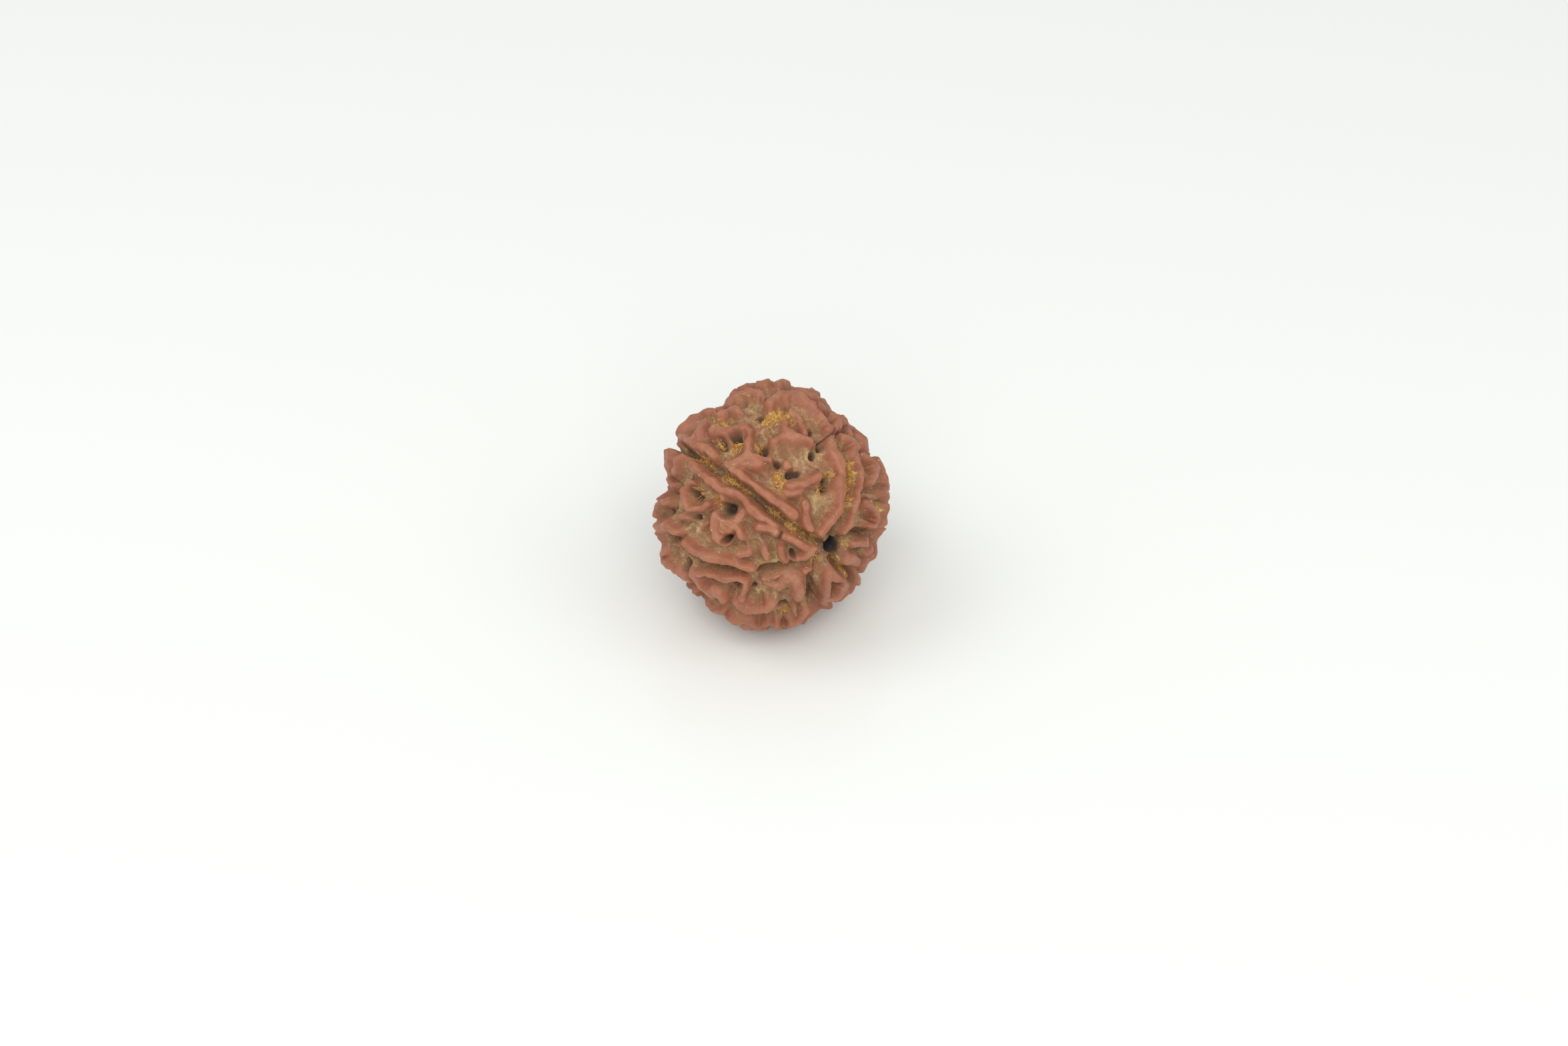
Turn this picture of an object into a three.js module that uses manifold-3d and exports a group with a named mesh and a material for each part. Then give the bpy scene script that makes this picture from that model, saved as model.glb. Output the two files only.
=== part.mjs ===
// A rudraksha seed: the hard ridged stone of the fruit, one grown piece.
// Six grooves run from pole to pole, a canal joins the poles, and knotty ridges with pits between
// them cover the rest. Millimetres, +Z up. The seed lies on its side, on the low ridges under it.
import * as THREE from "three";
import { mergeVertices } from "three/addons/utils/BufferGeometryUtils.js";
import Module from "manifold-3d";

// Driving dimensions
const CREST_RADIUS = 12; // the sphere on which the ridges' lines are drawn
const FLOOR_RADIUS = 10.5; // centre to the valleys between the ridges
const STRETCH = new THREE.Vector3(0.985, 1.03, 1); // across, up and towards the viewer, as the seed is seen
const VIEW_ELEVATION = 40; // degrees above the surface from which the front is drawn
const CENTRE = new THREE.Vector3(-0.121, -0.001, 11.75); // the seed's centre above its resting surface
const HOLE = [6.7, -4.35]; // the pole at the canal's near mouth, on the drawn front
const CANAL_RADIUS = 0.9;
const MOUTH = { radius: 1.7, height: 0.35 }; // the low rim round each end of the canal
const GROOVE = { halfWidth: 0.62, depth: 0.75, level: 0.3 };
const RIDGE = { tallness: 0.95, breadth: 1.15, level: 0.2 }; // what the drawn sizes are multiplied by
const FAR_BREADTH = 1.25; // how much broader the ridges of the hidden half are
const PIT_LEVEL = 0.2; // the share of a pit's radius that is level at its floor
const BLEND = 0.3; // how softly two ridges run together
const WAVER = 0.17; // how far the ridges wander from their drawn lines
const KNOTS = 0.2; // the share by which their width comes and goes
const LUMPS = 0.08;
const LIMB = { from: 0.75, to: 0.97 }; // where the view's edge begins and is full, as shares of the radius
const STEP = 0.8; // the longest straight piece in a ridge or groove
// Short bent ridges fill the bare ground at and behind the view's edge.
const FILL = { tries: 620, edge: 0.45, gap: 0.75, halfWidth: 1, height: 1.6, reach: 1.2, bend: 0.35 };
// The icosahedron's cuts, how its triangles even out, and the ring that their corners are averaged over.
const MESH = { detail: 22, rounds: 3, pull: 0.6, ring: 6, reach: 0.28 };

// The front as it is seen: millimetres to the right of and above the seed's centre.
// Each groove runs out from the canal's mouth, and they go round it anticlockwise from the right.
const GROOVES = [
  [[7.2, -3.7], [8.4, -3.1], [9.5, -2.9], [10.6, -2.8]],
  [[6.5, -2.3], [7.5, -0.9], [8.0, 1.2], [8.2, 3.2], [7.9, 4.9], [6.7, 7.0], [5.2, 9.2], [3.4, 11.1]],
  [[4.4, -3.6], [2.5, -2.4], [0.6, -1.0], [-1.2, 0.6], [-3.2, 2.0], [-5.2, 3.4], [-6.6, 4.5], [-8.4, 5.6]],
  [[4.6, -5.6], [2.4, -6.2], [0.4, -6.8], [-2.0, -7.0], [-4.6, -6.5], [-8, -6.1], [-10, -4.0]],
  [[5.1, -5.9], [4.4, -7.0], [4.2, -8.2], [4.5, -10.2]],
  [[6.8, -5.9], [7.5, -6.8], [8.4, -6.8]],
];

// Ridges: half width at the foot, height above the valleys, and the crest's line.
const RIDGES = [
  // above the long groove: its own edge, the arch over the wide hollow, and the far lobe
  [0.9, 1.7, [-9.1, 7.0], [-8.0, 6.5], [-6.9, 5.9], [-5.8, 5.1]],
  [0.95, 1.75, [-4.3, 3.8], [-3.0, 3.1], [-1.8, 2.2], [-0.8, 1.3], [0.4, 0.3], [1.5, -0.5], [2.4, -1.0]],
  [0.85, 1.7, [-4.0, 4.0], [-3.1, 4.5], [-2.2, 5.1], [-2.1, 6.4], [-2.2, 7.4], [-2.7, 8.1]],
  [0.65, 1.5, [-2.2, 5.0], [-1.1, 4.7], [0.0, 4.5]],
  [1.3, 1.65, [-3.4, 4.2], [-2.3, 4.5], [-1.3, 4.1]],
  [1.2, 1.7, [-2.7, 7.9], [-3.7, 7.4], [-4.8, 7.3], [-5.8, 7.6]],
  [1.05, 1.85, [-6.4, 8.3], [-6.9, 7.4], [-7.4, 6.6]],
  [0.85, 1.7, [-9.3, 7.3], [-8.6, 8.3], [-7.2, 9.1], [-5.6, 9.6]],
  [1.15, 1.5, [-4.8, 10.0], [-3.6, 11.0], [-2.4, 11.5], [-1.2, 11.4]],
  [0.5, 1.4, [-1.3, 11.5], [-0.7, 10.9]],
  [0.6, 0.9, [-2.0, 8.1], [-1.1, 7.8], [-0.4, 8.1]],
  // the broad ridge left of the right-hand groove
  [1.15, 1.8, [0.2, 10.3], [1.0, 10.9], [2.2, 11.2], [3.3, 10.7], [4.2, 10.0]],
  [1.0, 1.75, [4.2, 10.0], [4.9, 9.3], [5.5, 8.3], [5.9, 7.5]],
  [1.1, 1.75, [6.1, 6.7], [6.1, 5.8], [6.6, 4.9], [7.0, 4.0], [7.1, 3.0], [6.9, 2.0]],
  [0.9, 1.7, [6.9, 2.0], [7.2, 0.8], [7.1, -0.3], [6.4, -1.2], [5.8, -2.0], [5.1, -2.6]],
  [0.6, 1.35, [2.1, 9.7], [2.9, 9.0], [3.3, 8.2], [3.5, 7.3]],
  // the tooth, the small cone and the ridges in the middle of this face
  [0.8, 1.6, [1.6, 8.3], [1.6, 7.4], [2.4, 6.9], [3.4, 6.6], [4.3, 6.3]],
  [0.75, 1.4, [1.6, 7.4], [0.9, 6.9], [0.4, 6.4]],
  [1.0, 1.45, [1.7, 7.0], [2.7, 6.8]],
  [0.75, 1.1, [1.75, 4.3], [1.8, 4.0]],
  [0.95, 1.5, [1.8, 1.9], [2.6, 2.0], [3.4, 2.1], [4.1, 2.5], [4.8, 2.9]],
  [0.9, 1.2, [1.7, 1.2], [3.1, 1.4]],
  [1.0, 1.45, [3.5, 0.0], [3.6, -1.1], [4.1, -2.2]],
  // below the long groove
  [0.95, 1.75, [-7.8, 4.1], [-7.1, 3.3], [-6.2, 2.5], [-5.2, 1.9], [-4.1, 1.5], [-3.4, 1.2]],
  [0.85, 1.75, [-3.4, 1.2], [-2.8, 0.5], [-2.1, -0.3], [-1.2, -0.9], [-0.3, -1.4], [0.4, -2.0]],
  [1.0, 1.6, [-0.9, -2.2], [0.1, -2.4], [0.5, -2.8]],
  [0.45, 1.3, [-4.9, 1.5], [-4.8, 0.4]],
  [0.85, 1.7, [-5.5, -0.9], [-5.6, -2.2], [-5.2, -3.2], [-4.6, -3.7]],
  [0.85, 1.6, [-5.3, -1.2], [-4.2, -1.7], [-3.2, -2.4], [-2.9, -3.1]],
  [0.85, 1.35, [-3.4, -1.6], [-2.7, -0.7]],
  [1.2, 1.6, [-5.0, -2.1], [-4.1, -2.3]],
  [0.75, 1.6, [-8.9, 5.0], [-9.6, 4.4], [-9.8, 3.3]],
  [0.95, 1.6, [-10.0, 5.6], [-10.4, 4.7], [-10.2, 3.7]],
  [0.9, 1.6, [-10.3, 2.6], [-9.9, 2.0]],
  [0.8, 1.6, [-7.8, 2.1], [-8.8, 1.6], [-8.7, 0.6], [-8.2, -0.3], [-7.2, -0.3], [-6.3, 0.0]],
  [0.75, 1.6, [-10.4, 0.5], [-11.3, 0.2], [-11.7, -0.9]],
  [0.95, 1.7, [-11.5, -2.3], [-10.5, -2.1], [-9.5, -2.7]],
  [0.6, 1.1, [-9.6, -1.1], [-8.4, -1.2]],
  [0.4, 1.0, [-7.2, -2.5], [-6.5, -2.0]],
  // above the lower left groove
  [0.85, 1.7, [-8.5, -3.9], [-7.8, -4.5], [-6.8, -5.0], [-5.6, -5.3], [-3.6, -5.9], [-1.9, -6.4]],
  [0.8, 1.2, [-3.3, -5.2], [-2.2, -4.9]],
  [0.75, 1.15, [-0.6, -4.6], [-0.5, -5.5]],
  [0.75, 1.4, [0.9, -4.5], [1.1, -5.3], [1.6, -6.0]],
  [0.8, 1.65, [1.4, -3.2], [2.4, -3.4], [3.4, -4.0], [3.8, -4.3]],
  [0.7, 1.6, [4.5, -4.3], [3.9, -4.9], [3.1, -5.4], [2.3, -5.3]],
  [0.5, 1.4, [5.1, -5.0], [4.8, -5.5], [4.1, -5.7]],
  // below it, round to the bottom
  [0.7, 1.65, [-7.7, -6.8], [-6.4, -6.9], [-5.2, -7.2], [-4.0, -7.4], [-2.8, -7.5]],
  [0.8, 1.65, [-2.5, -7.7], [-2.6, -8.4], [-3.0, -9.3]],
  [1.1, 1.7, [-7.6, -7.1], [-7.1, -8.0], [-6.2, -8.6], [-5.1, -9.0], [-4.7, -9.5]],
  [1.0, 1.7, [-3.4, -9.8], [-2.6, -10.3], [-1.5, -10.6], [-0.5, -10.5], [0.2, -10.0]],
  [0.6, 1.2, [-0.7, -7.4], [0.3, -7.3], [1.1, -6.9], [1.9, -6.5]],
  [0.55, 1.0, [-0.5, -7.9], [0.4, -8.2]],
  [1.1, 1.65, [2.7, -7.8], [2.9, -8.6], [2.8, -9.3]],
  [1.2, 1.0, [0.8, -8.4], [1.8, -7.6]],
  [0.65, 1.4, [3.5, -6.8], [4.1, -6.4]],
  [0.9, 1.7, [0.5, -12.0], [1.4, -12.3], [2.4, -11.8], [3.3, -11.1], [3.8, -10.5]],
  [0.45, 1.4, [2.3, -10.2], [2.5, -11.2]],
  [0.8, 1.7, [-4.3, -11.2], [-3.3, -11.7], [-2.2, -11.7], [-1.2, -12.1], [-0.2, -11.9]],
  [0.7, 1.6, [-6.4, -9.9], [-5.6, -10.7], [-4.8, -10.7]],
  [0.6, 1.6, [-8.3, -8.1], [-7.6, -8.8]],
  [0.9, 1.7, [-10.8, -4.6], [-11.0, -5.3], [-10.0, -6.2], [-9.0, -6.8], [-8.4, -7.5]],
  [0.4, 1.1, [-10.7, -3.9], [-9.5, -4.1]],
  // the ring of ridge beside the bottom groove, and its points
  [1.0, 1.7, [6.1, -7.0], [5.7, -7.8], [5.6, -8.6], [5.5, -9.2]],
  [1.0, 1.7, [6.1, -7.0], [7.0, -7.5], [7.4, -8.2], [7.2, -8.8], [6.4, -9.3], [5.6, -9.3]],
  [0.8, 1.6, [5.3, -9.6], [5.6, -9.9]],
  [0.8, 1.6, [6.6, -9.6], [7.5, -9.0]],
  [0.9, 1.6, [8.6, -7.3], [8.9, -7.7]],
  // right of the canal's mouth
  [1.0, 1.6, [7.9, -5.3], [8.7, -5.8]],
  [0.95, 1.5, [8.7, -3.9], [9.8, -3.6]],
  [0.9, 1.5, [10.2, -4.4], [9.8, -4.9]],
  // right of the right-hand groove
  [0.6, 1.65, [8.6, 4.8], [9.0, 3.8], [9.1, 2.6], [8.8, 1.4], [8.5, -0.5], [8.1, -1.8], [7.3, -2.8]],
  [0.8, 1.65, [9.2, 5.1], [10.1, 4.6], [10.7, 3.9], [10.6, 3.2], [10.1, 2.3]],
  [0.7, 1.7, [10.8, 4.6], [11.4, 3.4], [11.7, 2.2], [11.5, 1.2]],
  [0.85, 1.65, [9.6, 0.2], [10.4, -0.4], [10.8, -1.2], [10.6, -2.0], [10.0, -2.3]],
  [0.65, 1.65, [11.8, 0.0], [11.6, -1.2], [11.2, -2.2]],
  [0.5, 1.1, [9.6, 1.1], [10.7, 0.9]],
  [0.95, 1.65, [7.0, 6.9], [8.0, 6.6], [8.6, 6.0], [8.6, 5.2]],
  [0.95, 1.65, [6.0, 9.2], [6.8, 8.8], [7.0, 8.3], [6.6, 7.9]],
  [0.85, 1.6, [5.0, 10.1], [5.8, 9.7]],
  [0.85, 1.6, [7.4, 8.9], [7.8, 8.2], [8.0, 7.3]],
  [0.9, 1.6, [8.7, 7.1], [9.4, 6.2], [9.8, 5.4]],
  [0.9, 1.6, [2.5, 11.6], [3.7, 11.2], [4.8, 10.7], [5.3, 10.3]],
  // knobs on the top outline
  [1.05, 1.75, [-3.0, 11.8], [-2.4, 11.9]],
  [1.1, 1.85, [-1.1, 12.2], [-0.5, 12.3]],
  [1.1, 1.85, [0.8, 12.3], [1.4, 12.3]],
];

// Pits: radius, depth below the valleys, and place.
const PITS = [
  [0.75, 0.8, [-5.0, 9.7]],
  [0.45, 0.2, [-4.75, 4.35]],
  [0.7, 0.6, [-1.2, 9.7]],
  [0.8, 0.5, [-3.6, 7.0]],
  [0.8, 0.4, [-5.1, 6.4]],
  [0.7, 0.6, [-0.7, 5.9]],
  [0.6, 0.5, [0.7, 4.4]],
  [0.5, 0.6, [1.9, 3.1], [2.4, 3.3], [2.9, 3.35]],
  [0.65, 0.5, [2.6, 9.9]],
  [0.7, 0.8, [4.1, 8.3]],
  [0.6, 0.8, [5.0, 6.3]],
  [0.6, 0.9, [4.7, 5.5]],
  [0.45, 0.8, [5.3, 3.7]],
  [0.8, 1.1, [5.7, 2.8]],
  [0.7, 1.0, [5.7, 1.9]],
  [0.45, 0.9, [6.4, 3.2]],
  [0.85, 0.8, [-7.8, 1.3]],
  [0.8, 0.4, [-8.5, 3.3]],
  [1.1, 0.9, [-4.4, -0.5]],
  [0.6, 0.9, [-4.4, -3.5]],
  [0.45, 0.7, [-7.9, -1.3]],
  [0.8, 0.9, [-11.0, -0.4]],
  [0.95, 1.0, [-8.9, -6.4]],
  [0.6, 0.8, [-5.8, -7.9]],
  [0.7, 0.8, [-3.9, -8.6]],
  [0.6, 0.6, [-1.8, -8.9]],
  [0.95, 1.1, [1.5, -11.0]],
  [0.5, 0.8, [-3.2, -11.0]],
  [0.6, 0.3, [2.3, -5.1]],
  [0.7, 1.0, [6.6, -8.1]],
  [0.6, 0.7, [8.2, -7.5]],
  [0.5, 0.6, [7.0, 7.3]],
  [0.6, 0.6, [7.6, 5.6]],
  [0.5, 0.6, [9.6, 3.2]],
  [0.5, 0.6, [10.8, -0.1]],
];

// Dips in the outline that the front shows, shared by both halves where they meet: the angle round the
// view from the right, the half width in degrees, and the depth. A negative depth is a swelling.
const DIPS = [
  [2, 4, -0.15], [29, 5, 0.5], [38, 4, 0.35], [45, 5, 0.65], [56, 6, 0.65], [72, 5, -0.15], [117, 8, 0.9],
  [128, 4, 0.35], [147, 3, 0.4], [153, 3, -0.25], [165, 7, 1.0], [172, 4, 1.1], [192, 4, -0.25],
  [198, 3, 0.35], [208, 4, -0.25], [224, 5, 0.55], [232, 4, 0.4], [253, 4, -0.2], [267, 3, 0.2],
  [295, 6, 0.85], [303, 4, 0.2], [329, 5, 0.55], [343, 5, 0.6],
];

const wasm = await Module();
wasm.setup();
const { smoothstep, clamp, radToDeg, degToRad, euclideanModulo } = THREE.MathUtils;
const TURN = 2 * Math.PI;
const GOLDEN_ANGLE = 2.399963;

// How far the outline's dips lower the surface in one direction from the centre.
function dip(d) {
  const angle = radToDeg(Math.atan2(d.y, d.x));
  const limb = smoothstep(Math.hypot(d.x, d.y) / d.length(), LIMB.from, LIMB.to);
  let total = 0;
  for (const [at, halfWidth, depth] of DIPS) {
    const off = euclideanModulo(angle - at + 180, 360) - 180;
    total += depth * limb * Math.exp(-((off / halfWidth) ** 2));
  }
  return total;
}

// The direction from the seed's centre to a point of the front, drawn at the ridge tops' radius.
function seen([across, up]) {
  const d = new THREE.Vector3(across / STRETCH.x, up / STRETCH.y, 0);
  const flat = d.lengthSq();
  for (let round = 0; round < 8; round++) {
    const towards = Math.sqrt(Math.max((CREST_RADIUS - dip(d)) ** 2 - flat, 0));
    d.z = round ? (d.z + towards) / 2 : towards;
  }
  return d.normalize();
}

// Longitude and latitude about the line through the poles.
const pole = seen(HOLE);
const farPole = pole.clone().negate();
const east = new THREE.Vector3(0, 1, 0).cross(pole).normalize();
const north = pole.clone().cross(east);
const longitude = (d) => Math.atan2(d.dot(north), d.dot(east));
const latitude = (d) => Math.asin(clamp(d.dot(pole), -1, 1));

function fromLongitude(lon, lat) {
  const level = east.clone().multiplyScalar(Math.cos(lon)).addScaledVector(north, Math.sin(lon));
  return level.multiplyScalar(Math.cos(lat)).addScaledVector(pole, Math.sin(lat));
}

// The far half, which the front hides, repeats the near half's relief through the centre:
// what lies between two grooves here lies between the opposite two there.
const count = GROOVES.length;
const meridians = GROOVES.map((line) => longitude(seen(line[Math.floor(line.length / 2)])));
const spans = meridians.map((m, i) => euclideanModulo(meridians[(i + 1) % count] - m, TURN));

function farSide(d) {
  const turned = meridians.map((m) => euclideanModulo(longitude(d) - m, TURN));
  const near = turned.indexOf(Math.min(...turned));
  const far = (near + count / 2) % count;
  return fromLongitude(meridians[far] + (turned[near] / spans[near]) * spans[far], -latitude(d));
}

// A line's points on the crest sphere, no further apart than STEP, with a ball that holds them all.
function onSphere(directions) {
  const points = [directions[0].clone().multiplyScalar(CREST_RADIUS)];
  directions.slice(1).forEach((to, i) => {
    const from = directions[i];
    const pieces = Math.max(Math.ceil((from.angleTo(to) * CREST_RADIUS) / STEP), 1);
    for (let k = 1; k <= pieces; k++)
      points.push(from.clone().lerp(to, k / pieces).normalize().multiplyScalar(CREST_RADIUS));
  });
  return { points, ball: new THREE.Sphere().setFromPoints(points) };
}

const piece = new THREE.Line3();
const nearest = new THREE.Vector3();

// The distance from a point to such a line, or infinity where it is beyond reach.
function distance(point, { points, ball }, reach) {
  if (point.distanceTo(ball.center) > ball.radius + reach) return Infinity;
  let least = point.distanceTo(points[0]);
  for (let i = 1; i < points.length; i++) {
    piece.set(points[i - 1], points[i]).closestPointToPoint(point, true, nearest);
    least = Math.min(least, point.distanceTo(nearest));
  }
  return least;
}

// Every mark on both halves, as lines on the crest sphere.
function bothHalves(marks, farBreadth) {
  return marks.flatMap(([wide, tall, ...line]) => {
    const near = line.map(seen);
    const far = near.map(farSide);
    return [
      { wide, tall, line: onSphere(near) },
      { wide: wide * farBreadth, tall, line: onSphere(far) },
    ];
  });
}

const pits = bothHalves(PITS, 1);
const ridges = bothHalves(RIDGES, FAR_BREADTH);
const mouths = [pole, farPole].map((d) => onSphere([d]));
const grooves = GROOVES.map((line, i) => {
  const opposite = GROOVES[(i + count / 2) % count].map(seen).map(farSide).reverse();
  return onSphere([pole, ...line.map(seen), ...opposite, farPole]);
});

function isBare(d) {
  const p = d.clone().multiplyScalar(CREST_RADIUS);
  const clear = (line, width) => distance(p, line, width + FILL.gap) >= width + FILL.gap;
  return (
    [...ridges, ...pits].every(({ wide, line }) => clear(line, wide * RIDGE.breadth)) &&
    grooves.every((line) => clear(line, GROOVE.halfWidth)) &&
    mouths.every((line) => clear(line, MOUTH.radius - 0.45))
  );
}

// The places tried lie on a spiral, and each new ridge keeps clear of those before it.
function fillBareGround() {
  const tilt = new THREE.Vector3(0.3, 0.5, 0.8);
  for (let i = 0; i < FILL.tries; i++) {
    const z = 1 - (2 * i + 1) / FILL.tries;
    const rim = Math.sqrt(1 - z ** 2);
    const d = new THREE.Vector3(rim * Math.cos(i * GOLDEN_ANGLE), rim * Math.sin(i * GOLDEN_ANGLE), z);
    if (z > FILL.edge || !isBare(d)) continue;
    const first = d.clone().cross(tilt).normalize();
    const second = d.clone().cross(first);
    const way = first.multiplyScalar(Math.cos(1.7 * i)).addScaledVector(second, Math.sin(1.7 * i));
    const side = d.clone().cross(way);
    const length = FILL.reach / CREST_RADIUS;
    const end = (sign) =>
      d.clone().addScaledVector(way, sign * length).addScaledVector(side, FILL.bend * length).normalize();
    ridges.push({ wide: FILL.halfWidth, tall: FILL.height, line: onSphere([end(-1), d, end(1)]) });
  }
}
fillBareGround();

// One where a mark is full, falling to nothing at its edge.
const fullness = (offset, width, level) => 1 - smoothstep(offset / width, level, 1);

// A smooth, repeatable unevenness of about the given wavelength, between -1 and 1.
function unevenness({ x, y, z }, wavelength, phase) {
  const k = TURN / wavelength;
  const first = Math.sin(k * (0.8 * x + 0.6 * y) + phase);
  const second = Math.sin(k * (0.7 * y - 0.7 * z) + 2 * phase);
  const third = Math.sin(k * (0.5 * x - 0.3 * y + 0.8 * z) + 3 * phase);
  return (first + second + third) / 3;
}

// The height of the relief above the valleys, in one direction from the centre.
function relief(d) {
  const p = d.clone().multiplyScalar(CREST_RADIUS);
  const lumps = LUMPS * unevenness(p, 1.7, 0.4);
  const waver = new THREE.Vector3(unevenness(p, 3.1, 1), unevenness(p, 2.7, 2), unevenness(p, 3.4, 3));
  p.addScaledVector(waver, WAVER);
  const breadth = RIDGE.breadth * (1 + KNOTS * unevenness(p, 2.3, 5));
  let height = 0;
  for (const { wide, tall, line } of ridges) {
    const width = wide * breadth;
    const rise = RIDGE.tallness * tall * fullness(distance(p, line, width), width, RIDGE.level);
    if (!(rise > 0)) continue;
    const gap = Math.max(BLEND - Math.abs(rise - height), 0);
    height = Math.max(rise, height) + gap ** 2 / (4 * BLEND);
  }
  height += lumps;
  const sink = (depth, part) => {
    height += (-depth - height) * part;
  };
  const share = (line, width, level) => fullness(distance(p, line, width), width, level);
  for (const { wide, tall, line } of pits) sink(tall, share(line, wide, PIT_LEVEL));
  for (const line of grooves) sink(GROOVE.depth, share(line, GROOVE.halfWidth, GROOVE.level));
  for (const line of mouths) sink(-MOUTH.height, share(line, MOUTH.radius, GROOVE.level));
  return height - dip(d);
}

const surface = (d, height = relief(d)) => d.clone().multiplyScalar(FLOOR_RADIUS + height).multiply(STRETCH);

// The relief averaged over a small ring, so that no triangle corner stands on a lone peak.
function softened(d) {
  const first = new THREE.Vector3(0.3, 0.5, 0.8).cross(d).normalize();
  const second = d.clone().cross(first);
  let total = relief(d);
  for (let k = 0; k < MESH.ring; k++) {
    const angle = (TURN * k) / MESH.ring;
    const away = first.clone().multiplyScalar(Math.cos(angle)).addScaledVector(second, Math.sin(angle));
    total += relief(d.clone().addScaledVector(away, MESH.reach / CREST_RADIUS).normalize());
  }
  return total / (MESH.ring + 1);
}

// A closed geometry with the vertices that its triangles share merged.
function closed(geometry) {
  const bare = new THREE.BufferGeometry().setAttribute("position", geometry.getAttribute("position"));
  bare.setIndex(geometry.getIndex());
  return mergeVertices(bare, 1e-4);
}

function solidOf(geometry) {
  const whole = closed(geometry);
  const vertProperties = whole.getAttribute("position").array;
  const triVerts = new Uint32Array(whole.getIndex().array);
  return new wasm.Manifold(new wasm.Mesh({ numProp: 3, vertProperties, triVerts }));
}

function geometryOf(solid) {
  const { vertProperties, triVerts } = solid.getMesh();
  const geometry = new THREE.BufferGeometry();
  geometry.setAttribute("position", new THREE.BufferAttribute(vertProperties, 3));
  geometry.setIndex(new THREE.BufferAttribute(triVerts, 1));
  geometry.computeVertexNormals();
  return geometry;
}

// From the drawn front, with its third axis towards the viewer, to the seed as it lies.
const asItLies = new THREE.Matrix4().makeRotationX(degToRad(90 - VIEW_ELEVATION)).setPosition(CENTRE);

// The icosahedron's vertices go out to the surface, after sliding along it until its triangles are even:
// without that the steep sides of the ridges would have the longest ones.
function seedBody() {
  const body = closed(new THREE.IcosahedronGeometry(1, MESH.detail));
  const place = body.getAttribute("position");
  const corners = body.getIndex().array;
  let directions = Array.from({ length: place.count }, (_, i) =>
    new THREE.Vector3().fromBufferAttribute(place, i).normalize(),
  );
  for (let round = 0; round < MESH.rounds; round++) {
    const points = directions.map((d) => surface(d));
    const sums = points.map(() => new THREE.Vector3());
    const joins = new Array(points.length).fill(0);
    for (let i = 0; i < corners.length; i++) {
      const next = i % 3 === 2 ? i - 2 : i + 1;
      sums[corners[i]].add(points[corners[next]]);
      joins[corners[i]] += 1;
    }
    const slide = (p, i) => p.lerp(sums[i].divideScalar(joins[i]), MESH.pull).divide(STRETCH).normalize();
    directions = points.map(slide);
  }
  directions.map((d) => surface(d, softened(d))).forEach((p, i) => place.setXYZ(i, p.x, p.y, p.z));
  return body.applyMatrix4(asItLies);
}

// The canal runs through the centre, along the line that joins the stretched poles.
function canal() {
  const along = pole.clone().multiply(STRETCH).normalize();
  const turn = new THREE.Quaternion().setFromUnitVectors(new THREE.Vector3(0, 1, 0), along);
  const bar = new THREE.CylinderGeometry(CANAL_RADIUS, CANAL_RADIUS, 3 * CREST_RADIUS, 16);
  return bar.applyQuaternion(turn).applyMatrix4(asItLies);
}

// What lies below the resting surface, cut away to leave the flat spots that the seed stands on.
function underground() {
  const side = 4 * CREST_RADIUS;
  return new THREE.BoxGeometry(side, side, side).translate(0, 0, -side / 2);
}

const stone = solidOf(seedBody()).subtract(solidOf(canal())).subtract(solidOf(underground()));
const seed = new THREE.Mesh(
  geometryOf(stone),
  new THREE.MeshStandardMaterial({ color: 0x98604a, roughness: 0.6, metalness: 0 }),
);
seed.name = "seed";

const part = new THREE.Group();
part.add(seed);
export default part;
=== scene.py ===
"""A rudraksha seed: the ridged brown stone with dust and fibre in its hollows, on a pale table."""

import math

import bmesh
import bpy
import numpy as np
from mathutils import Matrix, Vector


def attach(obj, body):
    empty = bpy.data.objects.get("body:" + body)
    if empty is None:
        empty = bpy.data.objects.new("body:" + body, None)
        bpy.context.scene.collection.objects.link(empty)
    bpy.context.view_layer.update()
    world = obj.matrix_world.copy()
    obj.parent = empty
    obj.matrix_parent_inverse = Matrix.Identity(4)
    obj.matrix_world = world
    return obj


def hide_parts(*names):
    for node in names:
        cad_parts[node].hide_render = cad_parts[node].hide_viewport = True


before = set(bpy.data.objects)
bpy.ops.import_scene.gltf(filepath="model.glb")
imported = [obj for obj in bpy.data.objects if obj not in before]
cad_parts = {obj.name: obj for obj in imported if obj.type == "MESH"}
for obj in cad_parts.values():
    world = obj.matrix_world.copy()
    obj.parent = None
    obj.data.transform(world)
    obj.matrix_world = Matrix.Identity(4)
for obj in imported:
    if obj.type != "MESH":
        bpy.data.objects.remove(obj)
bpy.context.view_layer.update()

MM = 0.001  # the seed is drawn in millimetres and placed in metres

# The stone's form, as in the solid
CREST_RADIUS = 12.0  # the sphere on which the ridges' lines are drawn
FLOOR_RADIUS = 10.5  # centre to the valleys between the ridges
STRETCH = np.array([0.985, 1.03, 1.0])  # across, up and towards the viewer
VIEW_ELEVATION = 40.0  # degrees above the table from which the front is drawn
CENTRE = np.array([-0.121, -0.001, 11.75])  # the seed's centre above the table
HOLE = (6.7, -4.35)  # the pole at the canal's near mouth, on the drawn front
CANAL_RADIUS = 0.9
MOUTH_RADIUS, MOUTH_HEIGHT = 1.7, 0.35  # the low rim round each end of the canal
GROOVE_HALF_WIDTH, GROOVE_DEPTH, GROOVE_LEVEL = 0.62, 0.75, 0.3
RIDGE_TALLNESS, RIDGE_BREADTH = 0.95, 1.15  # what the drawn sizes are multiplied by
RIDGE_LEVEL = 0.2  # the share of a ridge's half width that is level at its crest
FAR_BREADTH = 1.25  # how much broader the ridges of the hidden half are
PIT_LEVEL = 0.2  # the share of a pit's radius that is level at its floor
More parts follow.
